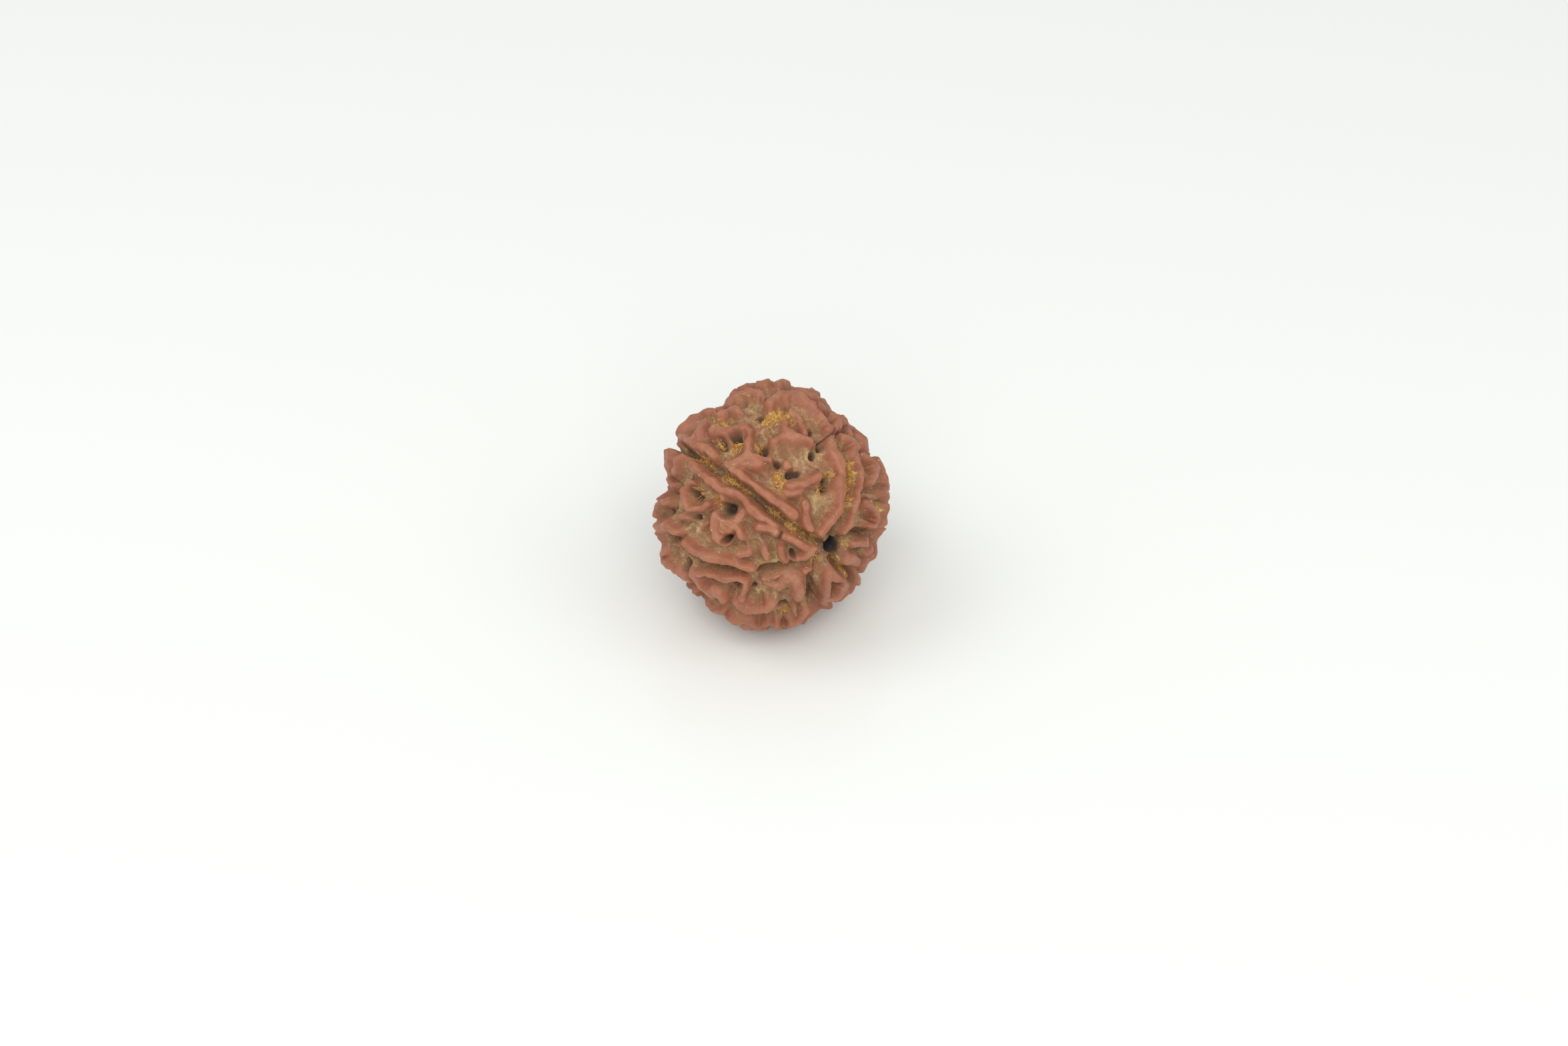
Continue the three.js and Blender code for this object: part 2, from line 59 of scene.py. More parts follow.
BLEND = 0.3  # how softly two ridges run together
WAVER = 0.17  # how far the ridges wander from their drawn lines
WAVER_WAVES = [(3.1, 1), (2.7, 2), (3.4, 3)]  # across, up and towards the viewer: wavelength and phase
KNOTS, KNOT_WAVE = 0.2, (2.3, 5)  # the share by which their width comes and goes
LUMPS, LUMP_WAVE = 0.08, (1.7, 0.4)
LIMB_FROM, LIMB_TO = 0.75, 0.97  # where the view's edge begins and is full, as shares of the radius
SETTLE_ROUNDS = 8  # in which a point near the view's edge settles on the dipped outline
STEP = 0.8  # the longest straight piece in a ridge or groove
FILL_TRIES, FILL_EDGE, FILL_GAP = 620, 0.45, 0.75  # short bent ridges on the bare ground behind the edge
FILL_HALF_WIDTH, FILL_HEIGHT, FILL_REACH, FILL_BEND = 1.0, 1.6, 1.2, 0.35
FILL_OVERLAP = 0.45  # how far a short ridge may lie over a mouth's rim
FILL_ACROSS, FILL_TURN = [0.3, 0.5, 0.8], 1.7  # what the first lies across, and radians to the next
GOLDEN_ANGLE = 2.399963  # radians between two places on a spiral

# What the finer mesh adds to the solid
MESH_CUTS = 23  # of each edge of the first ball
MESH_ROUNDS, MESH_PULL = 4, 0.6  # rounds of evening out, and how far each goes
NIBBLE = 0.09  # how far all edges wander over a millimetre
NIBBLE_WAVES = [(0.9, 1.5), (1.4, 2.5), (1.1, 3.5)]
VALLEY_SPAN = (0.3, 1.3)  # the heights over which a valley gives way to a ridge
GRAIN_HEIGHT, GRAIN_SIZE = 0.06, 0.75  # grit in the valleys
WRINKLE_HEIGHT, WRINKLE_SIZE, WRINKLE_SPAN = 0.24, 2.6, (0, 0.4)  # low wrinkles there
KNOB_HEIGHT, KNOB_SIZE = 0.11, 1.35  # unevenness of the ridges
CRACK_HALF_WIDTH, CRACK_DEPTH = 0.17, 0.25
CANAL_SIDES, CANAL_RINGS = 32, 80
CANAL_ROUGHNESS, CANAL_RIM = 0.16, 0.5  # of its wall, fading out over the rim
LOW_GROUND = 1.08  # low ground is nearer the centre than the crests, so a mark on it lies farther round
OUTERMOST = 0.97  # the farthest out that such a mark is drawn, as a share of the radius
MAT_SPAN = (0.3, 1.4)  # where a mat of fibre begins to thin out and ends, as shares of its half width

# Where the stone's colours and painted shade begin and end
CREST_SPAN = (0.15, 1.15)  # heights above the valleys
SHADE_DEPTH_SPAN = (-0.05, 0.75)  # depths below them over which the valleys darken with painted shade
GROOVE_SPAN = (0.25, 0.8)  # distances from a groove's middle
PIT_SPAN = (0.45, 0.95)  # shares of a pit's radius over which its painted shade fades
# distances from a crack's middle over which its painted shade fades
CRACK_SPAN = (0.05, CRACK_HALF_WIDTH)
MOUTH_SPAN = (0.7, 2.0)  # distances from a pole over which the painted shade round a mouth fades
CANAL_SLACK, CANAL_SHADE_SPAN = 0.4, (0.0, 0.8)  # room round the canal, and depths in it over which its painted shade darkens
CREASE_ROUNDS = 14  # rounds of averaging that tell creases from edges
CREASE_SPAN, EDGE_SPAN = (0.02, 0.16), (0.04, 0.2)  # how far the averaging moves a point: painted shade in creases, and wear with painted highlight on edges
GROOVE_PALENESS, PIT_SHADE, MOUTH_SHADE = 0.75, 0.85, 0.75  # how much painted shade the grooves lose, and how much painted shade the pits and mouths get
THIN_DUST = 0.62  # the share of dust that lies in all valleys
GROOVE_FIBRE = 0.28  # the share of fibre all along the grooves
DUST_OFF_CRESTS, FIBRE_OFF_CRESTS = 0.95, 0.8  # the shares that are worn off the crests

# Loose fibres
FIBRE_RADIUS = 0.03
FIBRE_TAPER = [0.5, 0.9, 1.0, 1.0, 0.8, 0.4]  # the share of the radius at each joint
FIBRE_SHORTEST, FIBRE_LONGEST = 0.3, 1.0
FIBRE_CURL, FIBRE_SPREAD = 0.8, 0.6  # how much they turn at a joint, and differ from their mat's direction
FIBRE_LIFT, FIBRE_LEAST_LIFT = 0.3, 0.03  # the highest loop above the ground, and the lowest one's share
FIBRE_CEILING = 0.75  # how far above the valleys they may lie
FIBRE_CLEARANCE = 1.3  # how far they stay from the canal's middle, in its radii
FIBRE_SEED = 11  # of the random numbers

# The front as it is seen: millimetres to the right of and above the seed's centre.
# Each groove runs out from the canal's mouth, and they go round it anticlockwise from the right.
GROOVES = [
    [[7.2, -3.7], [8.4, -3.1], [9.5, -2.9], [10.6, -2.8]],
    [[6.5, -2.3], [7.5, -0.9], [8.0, 1.2], [8.2, 3.2], [7.9, 4.9], [6.7, 7.0], [5.2, 9.2], [3.4, 11.1]],
    [[4.4, -3.6], [2.5, -2.4], [0.6, -1.0], [-1.2, 0.6], [-3.2, 2.0], [-5.2, 3.4], [-6.6, 4.5], [-8.4, 5.6]],
    [[4.6, -5.6], [2.4, -6.2], [0.4, -6.8], [-2.0, -7.0], [-4.6, -6.5], [-8, -6.1], [-10, -4.0]],
    [[5.1, -5.9], [4.4, -7.0], [4.2, -8.2], [4.5, -10.2]],
    [[6.8, -5.9], [7.5, -6.8], [8.4, -6.8]],
]

# Ridges: half width at the foot, height above the valleys, and the crest's line.
RIDGES = [
    # above the long groove: its own edge, the arch over the wide hollow, and the far lobe
    [0.9, 1.7, [-9.1, 7.0], [-8.0, 6.5], [-6.9, 5.9], [-5.8, 5.1]],
    [0.95, 1.75, [-4.3, 3.8], [-3.0, 3.1], [-1.8, 2.2], [-0.8, 1.3], [0.4, 0.3], [1.5, -0.5], [2.4, -1.0]],
    [0.85, 1.7, [-4.0, 4.0], [-3.1, 4.5], [-2.2, 5.1], [-2.1, 6.4], [-2.2, 7.4], [-2.7, 8.1]],
    [0.65, 1.5, [-2.2, 5.0], [-1.1, 4.7], [0.0, 4.5]],
    [1.3, 1.65, [-3.4, 4.2], [-2.3, 4.5], [-1.3, 4.1]],
    [1.2, 1.7, [-2.7, 7.9], [-3.7, 7.4], [-4.8, 7.3], [-5.8, 7.6]],
    [1.05, 1.85, [-6.4, 8.3], [-6.9, 7.4], [-7.4, 6.6]],
    [0.85, 1.7, [-9.3, 7.3], [-8.6, 8.3], [-7.2, 9.1], [-5.6, 9.6]],
    [1.15, 1.5, [-4.8, 10.0], [-3.6, 11.0], [-2.4, 11.5], [-1.2, 11.4]],
    [0.5, 1.4, [-1.3, 11.5], [-0.7, 10.9]],
    [0.6, 0.9, [-2.0, 8.1], [-1.1, 7.8], [-0.4, 8.1]],
    # the broad ridge left of the right-hand groove
    [1.15, 1.8, [0.2, 10.3], [1.0, 10.9], [2.2, 11.2], [3.3, 10.7], [4.2, 10.0]],
    [1.0, 1.75, [4.2, 10.0], [4.9, 9.3], [5.5, 8.3], [5.9, 7.5]],
    [1.1, 1.75, [6.1, 6.7], [6.1, 5.8], [6.6, 4.9], [7.0, 4.0], [7.1, 3.0], [6.9, 2.0]],
    [0.9, 1.7, [6.9, 2.0], [7.2, 0.8], [7.1, -0.3], [6.4, -1.2], [5.8, -2.0], [5.1, -2.6]],
    [0.6, 1.35, [2.1, 9.7], [2.9, 9.0], [3.3, 8.2], [3.5, 7.3]],
    # the tooth, the small cone and the ridges in the middle of this face
    [0.8, 1.6, [1.6, 8.3], [1.6, 7.4], [2.4, 6.9], [3.4, 6.6], [4.3, 6.3]],
    [0.75, 1.4, [1.6, 7.4], [0.9, 6.9], [0.4, 6.4]],
    [1.0, 1.45, [1.7, 7.0], [2.7, 6.8]],
    [0.75, 1.1, [1.75, 4.3], [1.8, 4.0]],
    [0.95, 1.5, [1.8, 1.9], [2.6, 2.0], [3.4, 2.1], [4.1, 2.5], [4.8, 2.9]],
    [0.9, 1.2, [1.7, 1.2], [3.1, 1.4]],
    [1.0, 1.45, [3.5, 0.0], [3.6, -1.1], [4.1, -2.2]],
    # below the long groove
    [0.95, 1.75, [-7.8, 4.1], [-7.1, 3.3], [-6.2, 2.5], [-5.2, 1.9], [-4.1, 1.5], [-3.4, 1.2]],
    [0.85, 1.75, [-3.4, 1.2], [-2.8, 0.5], [-2.1, -0.3], [-1.2, -0.9], [-0.3, -1.4], [0.4, -2.0]],
    [1.0, 1.6, [-0.9, -2.2], [0.1, -2.4], [0.5, -2.8]],
    [0.45, 1.3, [-4.9, 1.5], [-4.8, 0.4]],
    [0.85, 1.7, [-5.5, -0.9], [-5.6, -2.2], [-5.2, -3.2], [-4.6, -3.7]],
    [0.85, 1.6, [-5.3, -1.2], [-4.2, -1.7], [-3.2, -2.4], [-2.9, -3.1]],
    [0.85, 1.35, [-3.4, -1.6], [-2.7, -0.7]],
    [1.2, 1.6, [-5.0, -2.1], [-4.1, -2.3]],
    [0.75, 1.6, [-8.9, 5.0], [-9.6, 4.4], [-9.8, 3.3]],
    [0.95, 1.6, [-10.0, 5.6], [-10.4, 4.7], [-10.2, 3.7]],
    [0.9, 1.6, [-10.3, 2.6], [-9.9, 2.0]],
    [0.8, 1.6, [-7.8, 2.1], [-8.8, 1.6], [-8.7, 0.6], [-8.2, -0.3], [-7.2, -0.3], [-6.3, 0.0]],
    [0.75, 1.6, [-10.4, 0.5], [-11.3, 0.2], [-11.7, -0.9]],
    [0.95, 1.7, [-11.5, -2.3], [-10.5, -2.1], [-9.5, -2.7]],
    [0.6, 1.1, [-9.6, -1.1], [-8.4, -1.2]],
    [0.4, 1.0, [-7.2, -2.5], [-6.5, -2.0]],
    # above the lower left groove
    [0.85, 1.7, [-8.5, -3.9], [-7.8, -4.5], [-6.8, -5.0], [-5.6, -5.3], [-3.6, -5.9], [-1.9, -6.4]],
    [0.8, 1.2, [-3.3, -5.2], [-2.2, -4.9]],
    [0.75, 1.15, [-0.6, -4.6], [-0.5, -5.5]],
    [0.75, 1.4, [0.9, -4.5], [1.1, -5.3], [1.6, -6.0]],
    [0.8, 1.65, [1.4, -3.2], [2.4, -3.4], [3.4, -4.0], [3.8, -4.3]],
    [0.7, 1.6, [4.5, -4.3], [3.9, -4.9], [3.1, -5.4], [2.3, -5.3]],
    [0.5, 1.4, [5.1, -5.0], [4.8, -5.5], [4.1, -5.7]],
    # below it, round to the bottom
    [0.7, 1.65, [-7.7, -6.8], [-6.4, -6.9], [-5.2, -7.2], [-4.0, -7.4], [-2.8, -7.5]],
    [0.8, 1.65, [-2.5, -7.7], [-2.6, -8.4], [-3.0, -9.3]],
    [1.1, 1.7, [-7.6, -7.1], [-7.1, -8.0], [-6.2, -8.6], [-5.1, -9.0], [-4.7, -9.5]],
    [1.0, 1.7, [-3.4, -9.8], [-2.6, -10.3], [-1.5, -10.6], [-0.5, -10.5], [0.2, -10.0]],
    [0.6, 1.2, [-0.7, -7.4], [0.3, -7.3], [1.1, -6.9], [1.9, -6.5]],
    [0.55, 1.0, [-0.5, -7.9], [0.4, -8.2]],
    [1.1, 1.65, [2.7, -7.8], [2.9, -8.6], [2.8, -9.3]],
    [1.2, 1.0, [0.8, -8.4], [1.8, -7.6]],
    [0.65, 1.4, [3.5, -6.8], [4.1, -6.4]],
    [0.9, 1.7, [0.5, -12.0], [1.4, -12.3], [2.4, -11.8], [3.3, -11.1], [3.8, -10.5]],
    [0.45, 1.4, [2.3, -10.2], [2.5, -11.2]],
    [0.8, 1.7, [-4.3, -11.2], [-3.3, -11.7], [-2.2, -11.7], [-1.2, -12.1], [-0.2, -11.9]],
    [0.7, 1.6, [-6.4, -9.9], [-5.6, -10.7], [-4.8, -10.7]],
    [0.6, 1.6, [-8.3, -8.1], [-7.6, -8.8]],
    [0.9, 1.7, [-10.8, -4.6], [-11.0, -5.3], [-10.0, -6.2], [-9.0, -6.8], [-8.4, -7.5]],
    [0.4, 1.1, [-10.7, -3.9], [-9.5, -4.1]],
    # the ring of ridge beside the bottom groove, and its points
    [1.0, 1.7, [6.1, -7.0], [5.7, -7.8], [5.6, -8.6], [5.5, -9.2]],
    [1.0, 1.7, [6.1, -7.0], [7.0, -7.5], [7.4, -8.2], [7.2, -8.8], [6.4, -9.3], [5.6, -9.3]],
    [0.8, 1.6, [5.3, -9.6], [5.6, -9.9]],
    [0.8, 1.6, [6.6, -9.6], [7.5, -9.0]],
    [0.9, 1.6, [8.6, -7.3], [8.9, -7.7]],
    # right of the canal's mouth
    [1.0, 1.6, [7.9, -5.3], [8.7, -5.8]],
    [0.95, 1.5, [8.7, -3.9], [9.8, -3.6]],
    [0.9, 1.5, [10.2, -4.4], [9.8, -4.9]],
    # right of the right-hand groove
    [0.6, 1.65, [8.6, 4.8], [9.0, 3.8], [9.1, 2.6], [8.8, 1.4], [8.5, -0.5], [8.1, -1.8], [7.3, -2.8]],
    [0.8, 1.65, [9.2, 5.1], [10.1, 4.6], [10.7, 3.9], [10.6, 3.2], [10.1, 2.3]],
    [0.7, 1.7, [10.8, 4.6], [11.4, 3.4], [11.7, 2.2], [11.5, 1.2]],
    [0.85, 1.65, [9.6, 0.2], [10.4, -0.4], [10.8, -1.2], [10.6, -2.0], [10.0, -2.3]],
    [0.65, 1.65, [11.8, 0.0], [11.6, -1.2], [11.2, -2.2]],
    [0.5, 1.1, [9.6, 1.1], [10.7, 0.9]],
    [0.95, 1.65, [7.0, 6.9], [8.0, 6.6], [8.6, 6.0], [8.6, 5.2]],
    [0.95, 1.65, [6.0, 9.2], [6.8, 8.8], [7.0, 8.3], [6.6, 7.9]],
    [0.85, 1.6, [5.0, 10.1], [5.8, 9.7]],
    [0.85, 1.6, [7.4, 8.9], [7.8, 8.2], [8.0, 7.3]],
    [0.9, 1.6, [8.7, 7.1], [9.4, 6.2], [9.8, 5.4]],
    [0.9, 1.6, [2.5, 11.6], [3.7, 11.2], [4.8, 10.7], [5.3, 10.3]],
    # knobs on the top outline
    [1.05, 1.75, [-3.0, 11.8], [-2.4, 11.9]],
    [1.1, 1.85, [-1.1, 12.2], [-0.5, 12.3]],
    [1.1, 1.85, [0.8, 12.3], [1.4, 12.3]],
]

# Pits: radius, depth below the valleys, and place, or the line that a long one follows.
PITS = [
    [0.75, 0.8, [-5.0, 9.7]],
    [0.45, 0.2, [-4.75, 4.35]],
    [0.7, 0.6, [-1.2, 9.7]],
    [0.8, 0.5, [-3.6, 7.0]],
    [0.8, 0.4, [-5.1, 6.4]],
    [0.7, 0.6, [-0.7, 5.9]],
    [0.6, 0.5, [0.7, 4.4]],
    [0.5, 0.6, [1.9, 3.1], [2.4, 3.3], [2.9, 3.35]],
    [0.65, 0.5, [2.6, 9.9]],
    [0.7, 0.8, [4.1, 8.3]],
    [0.6, 0.8, [5.0, 6.3]],
    [0.6, 0.9, [4.7, 5.5]],
    [0.45, 0.8, [5.3, 3.7]],
    [0.8, 1.1, [5.7, 2.8]],
    [0.7, 1.0, [5.7, 1.9]],
    [0.45, 0.9, [6.4, 3.2]],
    [0.85, 0.8, [-7.8, 1.3]],
    [0.8, 0.4, [-8.5, 3.3]],
    [1.1, 0.9, [-4.4, -0.5]],
    [0.6, 0.9, [-4.4, -3.5]],
    [0.45, 0.7, [-7.9, -1.3]],
    [0.8, 0.9, [-11.0, -0.4]],
    [0.95, 1.0, [-8.9, -6.4]],
    [0.6, 0.8, [-5.8, -7.9]],
    [0.7, 0.8, [-3.9, -8.6]],
    [0.6, 0.6, [-1.8, -8.9]],
    [0.95, 1.1, [1.5, -11.0]],
    [0.5, 0.8, [-3.2, -11.0]],
    [0.6, 0.3, [2.3, -5.1]],
    [0.7, 1.0, [6.6, -8.1]],
    [0.6, 0.7, [8.2, -7.5]],
    [0.5, 0.6, [7.0, 7.3]],
    [0.6, 0.6, [7.6, 5.6]],
    [0.5, 0.6, [9.6, 3.2]],
    [0.5, 0.6, [10.8, -0.1]],
]

# Dips in the outline that the front shows, shared by both halves where they meet: the angle round the
# view from the right, the half width in degrees, and the depth. A negative depth is a swelling.
DIPS = [
    [2, 4, -0.15], [29, 5, 0.5], [38, 4, 0.35], [45, 5, 0.65], [56, 6, 0.65], [72, 5, -0.15], [117, 8, 0.9],
    [128, 4, 0.35], [147, 3, 0.4], [153, 3, -0.25], [165, 7, 1.0], [172, 4, 1.1], [192, 4, -0.25],
    [198, 3, 0.35], [208, 4, -0.25], [224, 5, 0.55], [232, 4, 0.4], [253, 4, -0.2], [267, 3, 0.2],
    [295, 6, 0.85], [303, 4, 0.2], [329, 5, 0.55], [343, 5, 0.6],
]

# Dust lies thick here: place, radius and strength.
DUST = [
    [[-3.0, 9.3], 1.8, 0.8],
    [[0.3, 7.4], 1.4, 0.7],
    [[4.6, 0.5], 1.9, 1.0],
    [[8.6, -2.6], 1.4, 0.8],
    [[1.4, -8.4], 1.8, 1.0],
    [[-1.4, -3.4], 1.6, 0.9],
    [[-9.0, -1.3], 1.5, 0.8],
    [[-6.2, -0.6], 1.0, 0.8],
    [[-0.2, 5.0], 1.2, 0.7],
    [[2.2, 5.2], 1.2, 0.6],
]

# Dark spots beside the canal's mouth, partly stain and partly painted shade: place, radius and strength.
STAIN_AND_SHADE_SPOTS = [
    [[4.9, -3.55], 0.5, 0.8],
    [[5.4, -4.0], 0.5, 0.7],
    [[6.6, -5.0], 0.6, 0.5],
]

# Cracks, as they are seen.
CRACKS = [
    [[4.35, 6.25], [5.0, 6.75], [5.5, 6.8], [6.35, 7.15]],
    [[1.2, -2.7], [1.0, -3.05], [0.85, -3.45]],
]

# Matted fibre left from the fruit: half width, thickness, number of loose fibres, and the line it follows.
MATS = [
    [0.32, 0.30, 110, [-7.4, 5.1], [-6.5, 4.5], [-5.8, 4.0]],
    [0.34, 0.35, 110, [-4.8, 3.0], [-4.2, 2.6], [-3.4, 2.1]],
    [0.16, 0.10, 35, [-3.0, 1.9], [-2.2, 1.3]],
    [0.20, 0.14, 60, [-0.1, -0.3], [0.5, -0.8], [1.2, -1.4]],
    [0.30, 0.28, 120, [1.8, -2.0], [2.6, -2.7], [3.6, -3.3]],
    [0.30, 0.25, 60, [4.3, -3.0], [4.9, -3.3]],
    [0.75, 0.25, 190, [-0.4, 8.6], [0.3, 8.9], [1.1, 9.1]],
    [0.50, 0.50, 80, [1.9, 8.8], [2.4, 8.1]],
    [0.50, 0.30, 130, [0.6, 3.0], [0.9, 2.6], [1.1, 1.7]],
    [0.40, 0.65, 150, [7.7, 4.6], [7.8, 4.1], [7.9, 3.5], [7.9, 2.9], [7.85, 2.4]],
    [0.40, 0.65, 130, [7.65, 1.9], [7.65, 1.3], [7.6, 0.7], [7.5, 0.1]],
    [0.45, 0.30, 70, [-7.6, 2.7], [-7.4, 2.2], [-7.0, 1.2]],
    [0.40, 0.25, 40, [-5.4, 0.6], [-5.0, 0.2]],
    [0.45, 0.30, 70, [-3.0, 5.9], [-3.6, 5.7]],
    [0.45, 0.30, 60, [-5.2, 6.5], [-4.8, 6.1]],
    [0.40, 0.25, 40, [-5.1, 8.3], [-4.5, 8.1]],
    [0.35, 0.20, 30, [-1.3, 5.9], [-1.1, 5.6]],
    [0.25, 0.15, 40, [6.0, 3.4], [6.1, 2.7]],
    [0.40, 0.25, 50, [5.3, 2.0], [4.8, 1.5]],
    [0.35, 0.30, 40, [10.6, 0.0], [10.8, -0.4]],
    [0.40, 0.25, 50, [6.5, -5.2], [6.9, -5.7]],
    [0.35, 0.25, 50, [7.2, -6.3], [7.6, -6.9]],
    [0.40, 0.20, 40, [1.2, -11.3], [1.6, -11.1]],
    [0.40, 0.25, 40, [4.9, -5.3], [4.3, -5.5]],
    [0.40, 0.25, 50, [7.2, -3.6], [7.9, -3.8]],
]


def unit(vectors):
    return vectors / np.linalg.norm(vectors, axis=-1, keepdims=True)


def smoothstep(value, low, high):
    share = np.clip((value - low) / (high - low), 0, 1)
    return share**2 * (3 - 2 * share)


def dip(directions):
    """How far the outline's dips lower the surface."""
    across, up, _ = unit(directions).T
    angle = np.degrees(np.arctan2(up, across))
    limb = smoothstep(np.hypot(across, up), LIMB_FROM, LIMB_TO)
    total = np.zeros(len(directions))
    for at, half_width, depth in DIPS:
        off = (angle - at + 180) % 360 - 180
        total += depth * limb * np.exp(-((off / half_width) ** 2))
    return total


def seen(points):
    """Directions from the seed's centre to points of the front, drawn at the ridge tops' radius."""
    flat = np.atleast_2d(np.array(points, float)) / STRETCH[:2]
    directions = np.column_stack([flat, np.zeros(len(flat))])
    for number in range(SETTLE_ROUNDS):
        radius = CREST_RADIUS - dip(directions)
        towards = np.sqrt(np.maximum(radius**2 - (flat**2).sum(1), 0))
        directions[:, 2] = (directions[:, 2] + towards) / 2 if number else towards
    return unit(directions)


def low_ground(place):
    """The direction of a mark seen on low ground."""
    place = LOW_GROUND * np.array(place)
    return seen(place * min(1, OUTERMOST * CREST_RADIUS / np.linalg.norm(place)))


# Longitude and latitude about the line through the poles
pole = seen(HOLE)[0]
canal_line = unit(pole * STRETCH)
east = unit(np.cross([0, 1, 0], pole))
north = np.cross(pole, east)
middles = np.vstack([seen(groove[len(groove) // 2]) for groove in GROOVES])
meridians = np.arctan2(middles @ north, middles @ east)
spans = (np.roll(meridians, -1) - meridians) % math.tau


def far_side(directions):
    """The hidden half's twin of each direction: between the opposite two grooves, through the centre."""
    longitude = np.arctan2(directions @ north, directions @ east)
    latitude = -np.arcsin(np.clip(directions @ pole, -1, 1))[:, None]
    turned = (longitude[:, None] - meridians) % math.tau
    near = turned.argmin(1)
    far = (near + len(GROOVES) // 2) % len(GROOVES)
    turn = (meridians[far] + turned.min(1) / spans[near] * spans[far])[:, None]
    level = np.cos(turn) * east + np.sin(turn) * north
    return np.cos(latitude) * level + np.sin(latitude) * pole


def on_sphere(directions):
    """A line on the crest sphere through the directions, with no piece longer than STEP."""
    runs = [directions[:1]]
    for start, end in zip(directions[:-1], directions[1:]):
        angle = math.acos(float(np.clip(start @ end, -1, 1)))
        pieces = max(math.ceil(angle * CREST_RADIUS / STEP), 1)
        runs.append(unit(start + (end - start) * (np.arange(1, pieces + 1) / pieces)[:, None]))
    return np.vstack(runs) * CREST_RADIUS


def distance(points, line, reach):
    """Which points are within reach of a line, and how far they are from it."""
    middle = line.mean(0)
    radius = np.linalg.norm(line - middle, axis=1).max() + reach
    within = np.nonzero(((points - middle) ** 2).sum(1) < radius**2)[0]
    close = points[within]
    least = ((close - line[0]) ** 2).sum(1)
    for start, end in zip(line[:-1], line[1:]):
        run = end - start
        along = np.clip((close - start) @ run / (run @ run), 0, 1)[:, None]
        least = np.minimum(least, ((close - start - along * run) ** 2).sum(1))
    return within, np.sqrt(least)


def both_halves(marks, far_breadth):
    """The width, height and line of each drawn mark, and of its twin on the hidden half."""
    halves = []
    for width, height, *line in marks:
        near = seen(line)
        halves.append((width, height, on_sphere(near)))
        halves.append((width * far_breadth, height, on_sphere(far_side(near))))
    return halves


def groove_line(number):
    """A groove from pole to pole: as drawn, and then as the twin of the opposite groove."""
    opposite = far_side(seen(GROOVES[(number + len(GROOVES) // 2) % len(GROOVES)]))[::-1]
    return on_sphere(np.vstack([pole, seen(GROOVES[number]), opposite, -pole]))


pits = both_halves(PITS, 1.0)
ridges = both_halves(RIDGES, FAR_BREADTH)
grooves = [groove_line(number) for number in range(len(GROOVES))]
mouths = [pole[None] * CREST_RADIUS, -pole[None] * CREST_RADIUS]
cracks = [on_sphere(seen(line)) for line in CRACKS]
mats = []
for half_width, thickness, number, *line in MATS:
    near = np.vstack([low_ground(place) for place in line])
    mats.append((half_width, thickness, number, on_sphere(near)))
    mats.append((half_width, thickness, number // 2, on_sphere(far_side(near))))


def is_bare(direction):
    """True where no ridge, pit, groove or mouth is near."""
    place = direction[None] * CREST_RADIUS
    lines = [(width * RIDGE_BREADTH, line) for width, _, line in ridges + pits]
    lines += [(GROOVE_HALF_WIDTH, line) for line in grooves]
    lines += [(MOUTH_RADIUS - FILL_OVERLAP, line) for line in mouths]
    reaches = [(width + FILL_GAP, line) for width, line in lines]
    return all((distance(place, line, reach)[1] >= reach).all() for reach, line in reaches)


def fill_bare_ground():
    """Short bent ridges on a spiral of places, each clear of those before it."""
    for number in range(FILL_TRIES):
        rise = 1 - (2 * number + 1) / FILL_TRIES
        rim = math.sqrt(1 - rise**2)
        spiral = number * GOLDEN_ANGLE
        direction = np.array([rim * math.cos(spiral), rim * math.sin(spiral), rise])
        if rise > FILL_EDGE or not is_bare(direction):
            continue
        turn = FILL_TURN * number
        first = unit(np.cross(direction, FILL_ACROSS))
        way = math.cos(turn) * first + math.sin(turn) * np.cross(direction, first)
        length = FILL_REACH / CREST_RADIUS
        bend = direction + FILL_BEND * length * np.cross(direction, way)
        ends = unit(np.array([bend - length * way, bend + length * way]))
        line = on_sphere(np.array([ends[0], direction, ends[1]]))
        ridges.append((FILL_HALF_WIDTH, FILL_HEIGHT, line))


fill_bare_ground()


def unevenness(points, wavelength, phase):
    """A smooth, repeatable unevenness between -1 and 1. The phase tells it from others."""
    k = math.tau / wavelength
    x, y, z = points.T
    first = np.sin(k * (0.8 * x + 0.6 * y) + phase)
    second = np.sin(k * (0.7 * y - 0.7 * z) + 2 * phase)
    third = np.sin(k * (0.5 * x - 0.3 * y + 0.8 * z) + 3 * phase)
    return (first + second + third) / 3


def shifts(places, waves):
    """An unevenness along each axis."""
    return np.column_stack([unevenness(places, *wave) for wave in waves])


def wavered(places):
    """Places on the crest sphere, shifted so that drawn lines run unevenly."""
    return places + WAVER * shifts(places, WAVER_WAVES) + NIBBLE * shifts(places, NIBBLE_WAVES)


